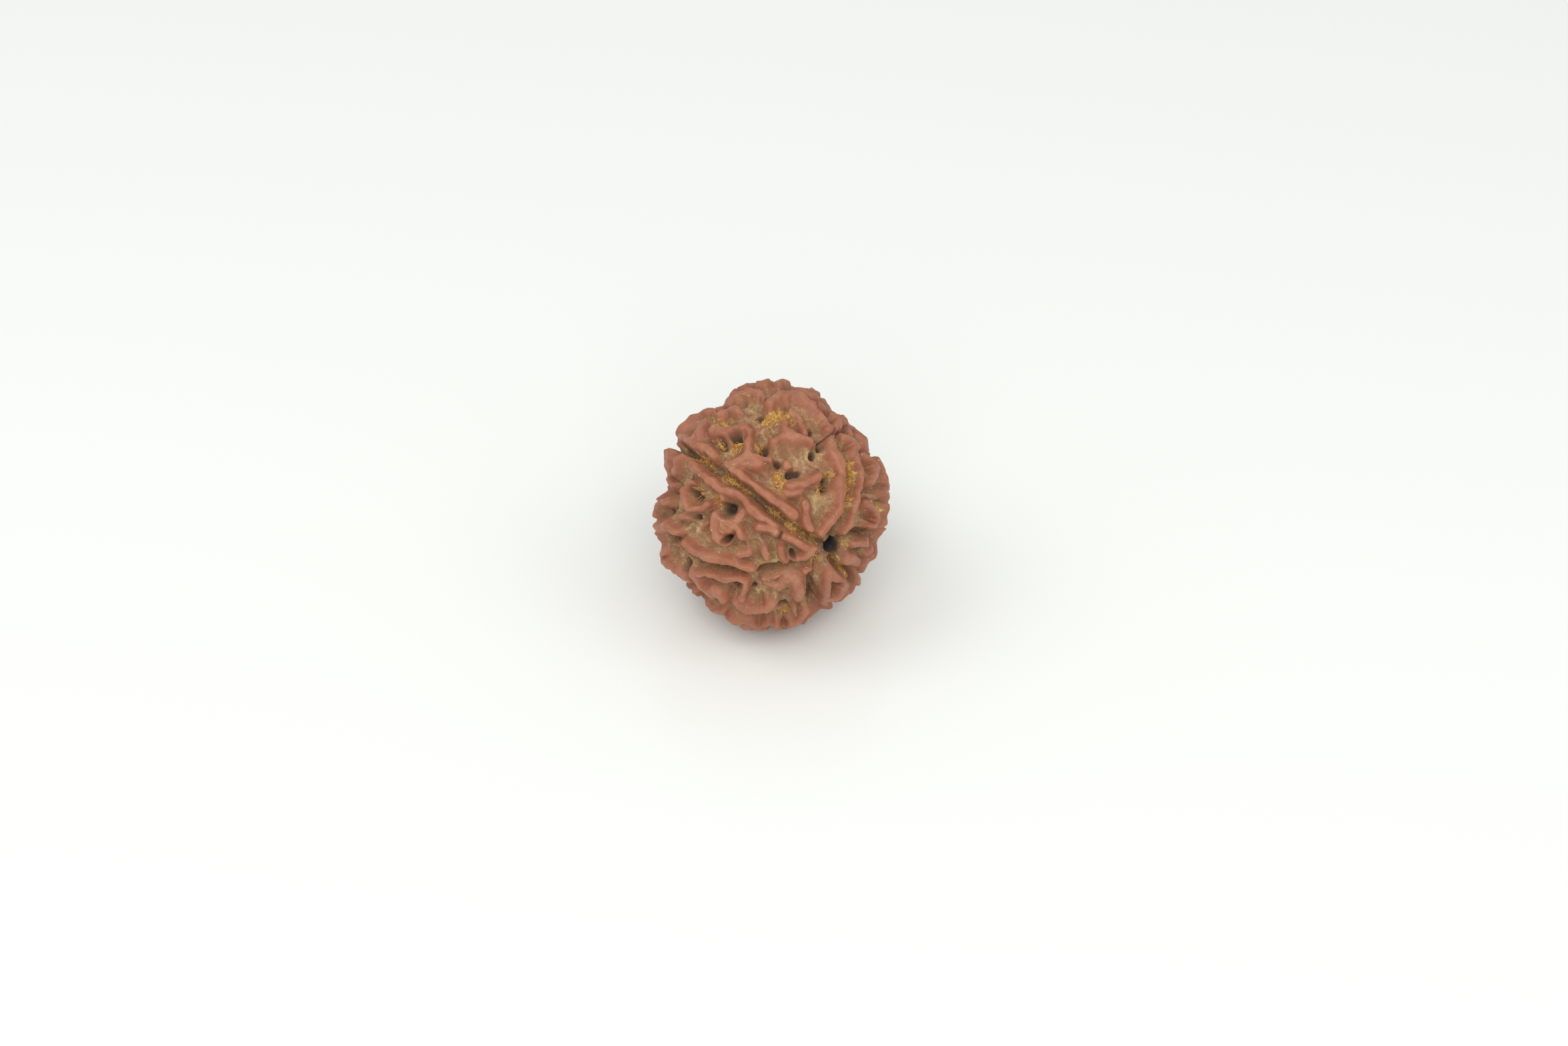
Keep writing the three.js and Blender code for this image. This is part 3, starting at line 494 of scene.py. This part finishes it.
def relief(directions):
    """The surface's height above the valleys."""
    places = directions * CREST_RADIUS
    lumps = LUMPS * unevenness(places, *LUMP_WAVE)
    places = wavered(places)
    breadth = RIDGE_BREADTH * (1 + KNOTS * unevenness(places, *KNOT_WAVE))
    height = np.zeros(len(directions))
    for width, tall, line in ridges:
        within, away = distance(places, line, width * RIDGE_BREADTH * (1 + KNOTS))
        rise = RIDGE_TALLNESS * tall * (1 - smoothstep(away / (width * breadth[within]), RIDGE_LEVEL, 1))
        before = height[within]
        gap = np.maximum(BLEND - np.abs(rise - before), 0)
        height[within] = np.where(rise > 0, np.maximum(rise, before) + gap**2 / (4 * BLEND), before)
    height += lumps
    sunk = [(width, depth, PIT_LEVEL, line) for width, depth, line in pits]
    sunk += [(GROOVE_HALF_WIDTH, GROOVE_DEPTH, GROOVE_LEVEL, line) for line in grooves]
    sunk += [(MOUTH_RADIUS, -MOUTH_HEIGHT, GROOVE_LEVEL, line) for line in mouths]
    for width, depth, level, line in sunk:
        within, away = distance(places, line, width)
        share = 1 - smoothstep(away / width, level, 1)
        height[within] += (-depth - height[within]) * share
    return height - dip(directions)


def surface(directions, lift=0.0):
    """Points of the stone in the drawn view, raised by the lift."""
    return (FLOOR_RADIUS + relief(directions) + lift)[:, None] * directions * STRETCH


def matted(places):
    """The thickness of the matted fibre, and how much of it there is, from 0 to 1."""
    ragged = np.clip(0.7 + 0.6 * unevenness(places, 1.1, 0.4) + 0.5 * unevenness(places, 0.6, 1.1), 0, 1.2)
    height, cover = np.zeros(len(places)), np.zeros(len(places))
    for width, thickness, _, line in mats:
        within, away = distance(places, line, MAT_SPAN[1] * width)
        share = (1 - smoothstep(away / width, *MAT_SPAN)) * ragged[within]
        height[within] = np.maximum(height[within], thickness * share)
        cover[within] = np.maximum(cover[within], np.minimum(share, 1))
    return height, cover


def fine_detail(directions):
    """What the stone has beyond the solid, as a height: uneven ground, matted fibre and thin cracks."""
    places = directions * CREST_RADIUS
    low = 1 - smoothstep(relief(directions) + dip(directions), *VALLEY_SPAN)
    grit = unevenness(places, GRAIN_SIZE, 1.3) + unevenness(places[:, [1, 2, 0]], 1.7 * GRAIN_SIZE, 2.1)
    knobs = unevenness(places, KNOB_SIZE, 0.9) + 0.6 * unevenness(places[:, [2, 0, 1]], 0.6 * KNOB_SIZE, 1.9)
    height = GRAIN_HEIGHT * low * grit + KNOB_HEIGHT * (1 - low) * knobs
    swell = unevenness(places, WRINKLE_SIZE, 0.6)
    swell += 0.5 * unevenness(places[:, [1, 2, 0]], 0.55 * WRINKLE_SIZE, 1.7)
    height += WRINKLE_HEIGHT * low * (1 - smoothstep(np.abs(swell), *WRINKLE_SPAN))
    height += low * matted(places)[0]
    for line in cracks:
        within, away = distance(places, line, CRACK_HALF_WIDTH)
        height[within] -= CRACK_DEPTH * (1 - smoothstep(away, 0, CRACK_HALF_WIDTH))
    return height


slope = math.radians(VIEW_ELEVATION)
ACROSS = np.array([1.0, 0.0, 0.0])
UP = np.array([0.0, math.sin(slope), math.cos(slope)])
TOWARDS = np.array([0.0, -math.cos(slope), math.sin(slope)])
VIEW = np.array([ACROSS, UP, TOWARDS])  # the drawn view's axes, on the table


def as_it_lies(points):
    """From the drawn view to the table, in metres."""
    return (points @ VIEW + CENTRE) * MM


def in_view(places):
    """From the table, in metres, back to the drawn view."""
    return (places / MM - CENTRE) @ VIEW.T


def drawn_directions(places):
    """Directions in the drawn view to places on the table."""
    return unit(in_view(places) / STRETCH)


def off_canal(drawn):
    """How points of the drawn view lie off the canal's line."""
    return drawn - (drawn @ canal_line)[:, None] * canal_line


def read(items, name, width, kind=float):
    """One property of all of a mesh's points or edges, a row for each."""
    values = np.empty(len(items) * width, kind)
    items.foreach_get(name, values)
    return values.reshape(-1, width)


def finished(mesh, material):
    """The mesh as a smooth piece of the scene."""
    mesh.materials.append(material)
    mesh.shade_smooth()
    piece = bpy.data.objects.new(mesh.name, mesh)
    bpy.context.scene.collection.objects.link(piece)
    return piece


def neighbour_means(edges, points):
    """The mean of the points that each point shares an edge with."""
    first, second = edges.T
    joins = np.bincount(edges.ravel(), minlength=len(points))
    sums = [
        np.bincount(first, column[second], len(points)) + np.bincount(second, column[first], len(points))
        for column in points.T
    ]
    return np.column_stack(sums) / joins[:, None]


def make_stone():
    """A fine icosphere moved out to the relief, with its triangles evened out over the steep sides."""
    shape = bmesh.new()
    bmesh.ops.create_icosphere(shape, subdivisions=3, radius=1)
    bmesh.ops.subdivide_edges(shape, edges=shape.edges[:], cuts=MESH_CUTS, use_grid_fill=True)
    mesh = bpy.data.meshes.new("seed stone")
    shape.to_mesh(mesh)
    shape.free()
    directions = unit(read(mesh.vertices, "co", 3))
    edges = read(mesh.edges, "vertices", 2, int)
    for _ in range(MESH_ROUNDS):
        points = surface(directions)
        points += MESH_PULL * (neighbour_means(edges, points) - points)
        directions = unit(points / STRETCH)
    places = as_it_lies(surface(directions, fine_detail(directions)))
    places[:, 2] = np.maximum(places[:, 2], 0)
    mesh.vertices.foreach_set("co", places.ravel())
    mesh.update()
    return mesh


def bore(mesh):
    """The canal, cut through the stone from pole to pole."""
    shape = bmesh.new()
    bmesh.ops.create_cone(
        shape, cap_ends=True, segments=CANAL_SIDES, radius1=CANAL_RADIUS * MM, radius2=CANAL_RADIUS * MM,
        depth=3 * CREST_RADIUS * MM,
    )
    lengthwise = [edge for edge in shape.edges if abs(edge.verts[0].co.z - edge.verts[1].co.z) > MM]
    bmesh.ops.subdivide_edges(shape, edges=lengthwise, cuts=CANAL_RINGS)
    turn = Vector(canal_line @ VIEW).to_track_quat("Z", "Y").to_matrix()
    bmesh.ops.rotate(shape, verts=shape.verts[:], matrix=turn)
    bmesh.ops.translate(shape, verts=shape.verts[:], vec=CENTRE * MM)
    bar_mesh = bpy.data.meshes.new("canal")
    shape.to_mesh(bar_mesh)
    shape.free()
    bar = bpy.data.objects.new("canal", bar_mesh)
    stone = bpy.data.objects.new("uncut stone", mesh)
    for piece in (bar, stone):
        bpy.context.scene.collection.objects.link(piece)
    cut = stone.modifiers.new("canal", "BOOLEAN")
    cut.operation, cut.solver, cut.object = "DIFFERENCE", "EXACT", bar
    whole = bpy.data.meshes.new_from_object(stone.evaluated_get(bpy.context.evaluated_depsgraph_get()))
    for piece in (stone, bar):
        bpy.data.objects.remove(piece)
    whole.name = "stone"
    whole.materials.clear()
    return whole


def roughen_canal(mesh):
    """The canal's wall and rims, made uneven."""
    places = read(mesh.vertices, "co", 3)
    drawn = in_view(places)
    out = off_canal(drawn)
    rough = CANAL_ROUGHNESS * (unevenness(drawn, 1.1, 0.7) + unevenness(drawn[:, [1, 2, 0]], 2.3, 0.2))
    share = 1 - smoothstep(np.linalg.norm(out, axis=1), CANAL_RADIUS, CANAL_RADIUS + CANAL_RIM)
    places += (rough * share)[:, None] * unit(out) @ VIEW * MM
    mesh.vertices.foreach_set("co", places.ravel())
    mesh.update()
    return mesh


def near_spots(places, spots):
    """The strongest of some round soft spots on both halves, at each place on the crest sphere."""
    strength = np.zeros(len(places))
    for place, radius, amount in spots:
        near = low_ground(place)
        for middle in (near, far_side(near)):
            away = np.linalg.norm(places - middle * CREST_RADIUS, axis=1)
            strength = np.maximum(strength, amount * np.exp(-((away / radius) ** 2)))
    return strength


def nearness(places, lines, span):
    """How near each place is to any of the lines: 1 at the span's near end, 0 at its far end."""
    share = np.zeros(len(places))
    for line in lines:
        within, away = distance(places, line, span[1])
        share[within] = np.maximum(share[within], 1 - smoothstep(away, *span))
    return share


def pit_share(places):
    """How far inside a pit each place is, from 0 to 1."""
    share = np.zeros(len(places))
    for width, _, line in pits:
        within, away = distance(places, line, width)
        share[within] = np.maximum(share[within], 1 - smoothstep(away / width, *PIT_SPAN))
    return share


def creases_and_edges(mesh):
    """How much each point lies in creases, for painted shade, and how much on an edge, for wear and painted
    highlight.
    """
    joins, corners = read(mesh.edges, "vertices", 2, int), read(mesh.vertices, "co", 3) / MM
    points = corners
    for _ in range(CREASE_ROUNDS):
        points = neighbour_means(joins, points)
    sink = ((points - corners) * read(mesh.vertices, "normal", 3)).sum(1)
    return smoothstep(sink, *CREASE_SPAN), smoothstep(-sink, *EDGE_SPAN)


def mark_surface(mesh):
    """Point attributes that the stone's material reads, each from 0 to 1."""
    corners = read(mesh.vertices, "co", 3)
    directions, drawn = drawn_directions(corners), in_view(corners)
    places = directions * CREST_RADIUS
    height = relief(directions) + dip(directions)
    depth = np.linalg.norm(surface(directions), axis=1) - np.linalg.norm(drawn, axis=1)
    by_canal = np.linalg.norm(off_canal(drawn), axis=1) < CANAL_RADIUS + CANAL_SLACK
    by_mouth = np.minimum(*[np.linalg.norm(places - line, axis=1) for line in mouths])
    groove = nearness(places, grooves, GROOVE_SPAN)
    crest = smoothstep(height, *CREST_SPAN)
    crease_shade, edge = creases_and_edges(mesh)
    # Painted shade: darker with depth below the valleys (less in the grooves), in pits and cracks and round
    # the canal's mouths, with the spots beside the mouth that are partly stain
    painted_shade_and_stain = np.maximum.reduce([
        smoothstep(-height, *SHADE_DEPTH_SPAN) * (1 - GROOVE_PALENESS * groove),
        near_spots(places, STAIN_AND_SHADE_SPOTS),
        nearness(places, cracks, CRACK_SPAN),
        PIT_SHADE * pit_share(wavered(places)),
        MOUTH_SHADE * (1 - smoothstep(by_mouth, *MOUTH_SPAN)),
    ])
    marks = {
        "crest": crest,
        # painted shade in creases
        "crease_shade": crease_shade,
        # wear and painted highlight on edges
        "edge": edge,
        "painted_shade_and_stain": painted_shade_and_stain,
        # painted shade inside the canal, darker deeper in
        "canal": by_canal * smoothstep(depth, *CANAL_SHADE_SPAN),
        "dust": np.maximum(THIN_DUST, near_spots(places, DUST)) * (1 - DUST_OFF_CRESTS * crest),
        "fibre": np.maximum(matted(places)[1], GROOVE_FIBRE * groove) * (1 - FIBRE_OFF_CRESTS * crest),
    }
    for name, values in marks.items():
        mesh.attributes.new(name, "FLOAT", "POINT").data.foreach_set("value", values.astype(np.float32))


def sow_fibres(chance):
    """Where fibres start on the mats, and the way each sets out: along its mat, to one end or the other."""
    starts, headings = [], []
    for width, _, number, line in mats:
        at = chance.uniform(0, len(line) - 1, number)
        first = at.astype(int)
        run = line[first + 1] - line[first]
        place = line[first] + (at - first)[:, None] * run
        starts.append(unit(place + chance.uniform(-width, width, place.shape)))
        ways = chance.choice([-1, 1], (number, 1))
        headings.append(unit(run) * ways + chance.normal(0, FIBRE_SPREAD, place.shape))
    return np.vstack(starts), np.vstack(headings)


def grow_fibres():
    """The joints of short curled fibres. Those that would climb a ridge or cross the canal are left out."""
    chance = np.random.default_rng(FIBRE_SEED)
    direction, heading = sow_fibres(chance)
    joints = len(FIBRE_TAPER)
    length = chance.uniform(FIBRE_SHORTEST, FIBRE_LONGEST, (len(direction), 1))
    step = length / CREST_RADIUS / (joints - 1)
    lift = FIBRE_LIFT * chance.uniform(FIBRE_LEAST_LIFT, 1, len(direction)) ** 2
    runs, tops = [], []
    for joint in range(joints):
        arch = math.sin(math.pi * joint / (joints - 1))
        tops.append(relief(direction) + dip(direction))
        runs.append(as_it_lies(surface(direction, fine_detail(direction) + lift * arch)))
        heading = unit(heading) + chance.normal(0, FIBRE_CURL, heading.shape)
        heading = unit(heading - (heading * direction).sum(1, keepdims=True) * direction)
        direction = unit(direction + heading * step)
    runs = np.stack(runs, 1)
    in_valley = np.max(tops, 0) < FIBRE_CEILING
    above_table = runs[:, :, 2].min(1) > 2 * FIBRE_RADIUS * MM
    towards_pole = np.abs(drawn_directions(runs) @ pole).max(1)
    beside_canal = towards_pole < math.cos(FIBRE_CLEARANCE * CANAL_RADIUS / FLOOR_RADIUS)
    return runs[in_valley & above_table & beside_canal]


def make_fibres(runs):
    """Thin tubes through the joints, tapered at both ends."""
    thread = bpy.data.curves.new("fibres", "CURVE")
    thread.dimensions = "3D"
    thread.bevel_depth = FIBRE_RADIUS * MM
    thread.bevel_resolution = 0
    thread.resolution_u = 1
    thread.use_fill_caps = True
    for run in runs:
        spline = thread.splines.new("POLY")
        spline.points.add(len(run) - 1)
        spline.points.foreach_set("co", np.column_stack([run, np.ones(len(run))]).ravel())
        spline.points.foreach_set("radius", FIBRE_TAPER)
    strands = bpy.data.objects.new("strands", thread)
    bpy.context.scene.collection.objects.link(strands)
    mesh = bpy.data.meshes.new_from_object(strands.evaluated_get(bpy.context.evaluated_depsgraph_get()))
    bpy.data.objects.remove(strands)
    mesh.name = "fibres"
    mesh.materials.clear()
    return mesh


# Colours, in linear light
RIDGE_BROWN = (0.290, 0.092, 0.047, 1)
RIDGE_PALE = (0.388, 0.147, 0.076, 1)
# edges: partly wear, partly painted highlight
EDGE_WEAR_AND_HIGHLIGHT = (0.435, 0.168, 0.088, 1)
VALLEY_BROWN = (0.365, 0.172, 0.090, 1)
VALLEY_MURK = (0.185, 0.105, 0.058, 1)
# painted shade in creases
CREASE_SHADE_BROWN = (0.190, 0.090, 0.050, 1)
# painted shade in deep valleys, pits, cracks and round the mouths, and partly stain beside the mouth
SHADE_AND_STAIN_BROWN = (0.085, 0.050, 0.033, 1)
# painted shade inside the canal
CANAL_SHADE_DARK = (0.070, 0.056, 0.053, 1)
DUST_KHAKI = (0.540, 0.375, 0.180, 1)
FIBRE_PALE = (0.760, 0.560, 0.240, 1)
FIBRE_GOLD = (0.680, 0.365, 0.085, 1)
FIBRE_RUST = (0.540, 0.215, 0.050, 1)
FLECK_WHITE = (0.80, 0.75, 0.66, 1)
TABLE_WHITE = (0.888, 0.900, 0.872, 1)
ROOM_WHITE = (0.985, 1.0, 0.99, 1)

# The stone's skin
WAXY_ROUGHNESS, DULL_ROUGHNESS = 0.42, 0.9
GRAIN_DEPTH = 0.08  # too fine for the mesh

# The photograph's frame
FRAME_PIXELS = (2350, 1568)
SEED_PIXEL = (1155, 758)  # where the seed's centre is seen
PIXELS_PER_MM = 15
LENS_MM, SENSOR_MM = 100, 36

# The room, in metres and watts
TABLE_REACH = 3
ROOM_STRENGTH = 0.62


class Finish:
    """A material with a short way to add its nodes and join them."""

    def __init__(self, name):
        self.material = bpy.data.materials.new(name)
        self.material.use_nodes = True
        self.tree = self.material.node_tree
        self.shader = self.tree.nodes["Principled BSDF"]

    def node(self, kind, **settings):
        node = self.tree.nodes.new(kind)
        for name, value in settings.items():
            setattr(node, name, value)
        return node

    def join(self, source, target):
        self.tree.links.new(source, target)

    def fill(self, socket, value):
        if isinstance(value, bpy.types.NodeSocket):
            self.join(value, socket)
        else:
            socket.default_value = value

    def attribute(self, name):
        return self.node("ShaderNodeAttribute", attribute_name=name).outputs["Fac"]

    def noise(self, size_mm, detail=2.0, roughness=0.5):
        """Noise on the piece's own coordinates, with features of about the given size."""
        place = self.node("ShaderNodeTexCoord").outputs["Object"]
        noise = self.node("ShaderNodeTexNoise")
        self.join(place, noise.inputs["Vector"])
        noise.inputs["Scale"].default_value = 1 / (size_mm * MM)
        noise.inputs["Detail"].default_value = detail
        noise.inputs["Roughness"].default_value = roughness
        return noise.outputs["Fac"]

    def between(self, value, low, high):
        """The value's smooth share of the way from low to high."""
        span = self.node("ShaderNodeMapRange", interpolation_type="SMOOTHSTEP")
        self.fill(span.inputs["Value"], value)
        span.inputs["From Min"].default_value = low
        span.inputs["From Max"].default_value = high
        return span.outputs["Result"]

    def work_out(self, operation, first, second):
        node = self.node("ShaderNodeMath", operation=operation)
        self.fill(node.inputs[0], first)
        self.fill(node.inputs[1], second)
        return node.outputs[0]

    def add(self, first, second):
        return self.work_out("ADD", first, second)

    def take(self, first, second):
        return self.work_out("SUBTRACT", first, second)

    def times(self, first, second):
        return self.work_out("MULTIPLY", first, second)

    def mix(self, share, first, second):
        node = self.node("ShaderNodeMix", data_type="RGBA")
        self.fill(node.inputs["Factor"], share)
        self.fill(node.inputs["A"], first)
        self.fill(node.inputs["B"], second)
        return node.outputs["Result"]

    def bump(self, height, depth_mm):
        bump = self.node("ShaderNodeBump")
        bump.inputs["Strength"].default_value = 1
        bump.inputs["Distance"].default_value = depth_mm * MM
        self.join(height, bump.inputs["Height"])
        self.join(bump.outputs["Normal"], self.shader.inputs["Normal"])


def fibre_colour(finish):
    """Golden fibre, pale or rust-coloured in places."""
    colour = finish.mix(finish.between(finish.noise(1.1, 2), 0.36, 0.60), FIBRE_RUST, FIBRE_GOLD)
    return finish.mix(finish.between(finish.noise(0.3, 2), 0.47, 0.64), colour, FIBRE_PALE)


def ridge_colour(finish):
    """Red-brown, paler in blotches, and paler along edges as wear and painted highlight."""
    blotch = finish.between(finish.noise(1.9, 3), 0.36, 0.66)
    pores = finish.take(finish.noise(0.2, 3, 0.6), 0.5)
    colour = finish.mix(finish.add(blotch, pores), RIDGE_BROWN, RIDGE_PALE)
    # paler edges: partly wear, partly painted highlight
    return finish.mix(finish.times(finish.attribute("edge"), 0.3), colour, EDGE_WEAR_AND_HIGHLIGHT)


def valley_colour(finish):
    """Duller brown with murky patches."""
    murk = finish.between(finish.noise(0.8, 4, 0.6), 0.50, 0.68)
    return finish.mix(finish.times(murk, 0.6), VALLEY_BROWN, VALLEY_MURK)


def dust_cover(finish):
    """Where fine dust lies: in speckles, thicker in clouds."""
    speckle = finish.noise(0.24, 4, 0.68)
    thick = finish.times(finish.attribute("dust"), 0.38)
    cloud = finish.times(finish.take(finish.noise(1.3, 3), 0.5), 0.95)
    return finish.between(finish.add(finish.add(speckle, thick), cloud), 0.58, 1.02)


def stone_finish():
    """Waxy red-brown ridges, fine khaki dust in the valleys, painted shade in pits, creases, cracks and the
    canal, and matted gold where fibre lies.
    """
    finish = Finish("seed stone")
    crest, painted_shade_and_stain = finish.attribute("crest"), finish.attribute("painted_shade_and_stain")
    grain = finish.noise(0.42, 4, 0.6)
    dusting = dust_cover(finish)
    matting = finish.between(finish.add(finish.times(finish.attribute("fibre"), 0.6), grain), 0.72, 0.98)
    flecks = finish.between(finish.noise(0.25, 0), 0.862, 0.875)
    colour = finish.mix(crest, valley_colour(finish), ridge_colour(finish))
    colour = finish.mix(dusting, colour, DUST_KHAKI)
    # painted shade in creases
    colour = finish.mix(finish.times(finish.attribute("crease_shade"), 0.4), colour, CREASE_SHADE_BROWN)
    # painted shade in the deep places, with some stain beside the mouth
    colour = finish.mix(painted_shade_and_stain, colour, SHADE_AND_STAIN_BROWN)
    colour = finish.mix(matting, colour, fibre_colour(finish))
    colour = finish.mix(flecks, colour, FLECK_WHITE)
    # painted shade inside the canal, darker deeper in
    colour = finish.mix(finish.attribute("canal"), colour, CANAL_SHADE_DARK)
    finish.join(colour, finish.shader.inputs["Base Color"])
    roughness = finish.node("ShaderNodeMapRange")
    dull = finish.add(finish.times(dusting, grain), painted_shade_and_stain)
    finish.join(finish.take(crest, dull), roughness.inputs["Value"])
    roughness.inputs["To Min"].default_value = DULL_ROUGHNESS
    roughness.inputs["To Max"].default_value = WAXY_ROUGHNESS
    finish.join(roughness.outputs["Result"], finish.shader.inputs["Roughness"])
    finish.shader.inputs["Specular IOR Level"].default_value = 0.4
    threads = finish.times(matting, finish.noise(0.14, 2, 0.6))
    finish.bump(finish.add(finish.add(grain, finish.times(dusting, 0.5)), threads), GRAIN_DEPTH)
    return finish.material


def fibre_finish():
    """Dry fibre of the fruit."""
    finish = Finish("fruit fibre")
    finish.join(fibre_colour(finish), finish.shader.inputs["Base Color"])
    finish.shader.inputs["Roughness"].default_value = 0.75
    finish.shader.inputs["Specular IOR Level"].default_value = 0.25
    return finish.material


def table_finish():
    """Smooth white table top with a dull shine."""
    finish = Finish("white table")
    finish.shader.inputs["Base Color"].default_value = TABLE_WHITE
    finish.shader.inputs["Roughness"].default_value = 0.22
    finish.shader.inputs["Specular IOR Level"].default_value = 0.3
    return finish.material


def make_table():
    shape = bmesh.new()
    bmesh.ops.create_grid(shape, x_segments=1, y_segments=1, size=TABLE_REACH)
    mesh = bpy.data.meshes.new("table")
    shape.to_mesh(mesh)
    shape.free()
    return finished(mesh, table_finish())


def aim(thing, place, target):
    """Puts a light or the camera in its place, turned to the target."""
    thing.location = place
    thing.rotation_euler = (Vector(target) - Vector(place)).to_track_quat("-Z", "Y").to_euler()
    bpy.context.scene.collection.objects.link(thing)


def make_light(name, side, height, power, size):
    """A square soft light, aimed at the seed. Side is its place on the table's plane, in metres."""
    lamp = bpy.data.lights.new(name, "AREA")
    lamp.energy, lamp.size = power, size
    aim(bpy.data.objects.new(name, lamp), (*side, height), CENTRE * MM)


def make_room():
    """Even pale light from all round."""
    room = bpy.data.worlds.new("pale room")
    room.use_nodes = True
    background = room.node_tree.nodes["Background"]
    background.inputs["Color"].default_value = ROOM_WHITE
    background.inputs["Strength"].default_value = ROOM_STRENGTH
    bpy.context.scene.world = room


def make_camera():
    """A long lens at the photograph's height, with the seed's centre where the photograph has it."""
    lens = bpy.data.cameras.new("camera")
    lens.lens, lens.sensor_width = LENS_MM, SENSOR_MM
    distance_mm = FRAME_PIXELS[0] / PIXELS_PER_MM * LENS_MM / SENSOR_MM
    right = (SEED_PIXEL[0] - FRAME_PIXELS[0] / 2) / PIXELS_PER_MM
    above = (FRAME_PIXELS[1] / 2 - SEED_PIXEL[1]) / PIXELS_PER_MM
    target = CENTRE - right * ACROSS - above * UP
    camera = bpy.data.objects.new("camera", lens)
    aim(camera, (target + distance_mm * TOWARDS) * MM, target * MM)
    bpy.context.scene.camera = camera


stone = finished(roughen_canal(bore(make_stone())), stone_finish())
mark_surface(stone.data)
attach(stone, "root")
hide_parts("seed")
fibres = finished(make_fibres(grow_fibres()), fibre_finish())
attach(fibres, "root")

make_table()
make_light("left window", side=(-0.36, -0.06), height=0.48, power=0.72, size=0.34)
make_light("right window", side=(0.34, -0.16), height=0.46, power=0.45, size=0.34)
make_light("front window", side=(0.0, -0.45), height=0.45, power=1.86, size=0.5)
make_room()
bpy.context.scene.view_settings.view_transform = "Standard"
make_camera()
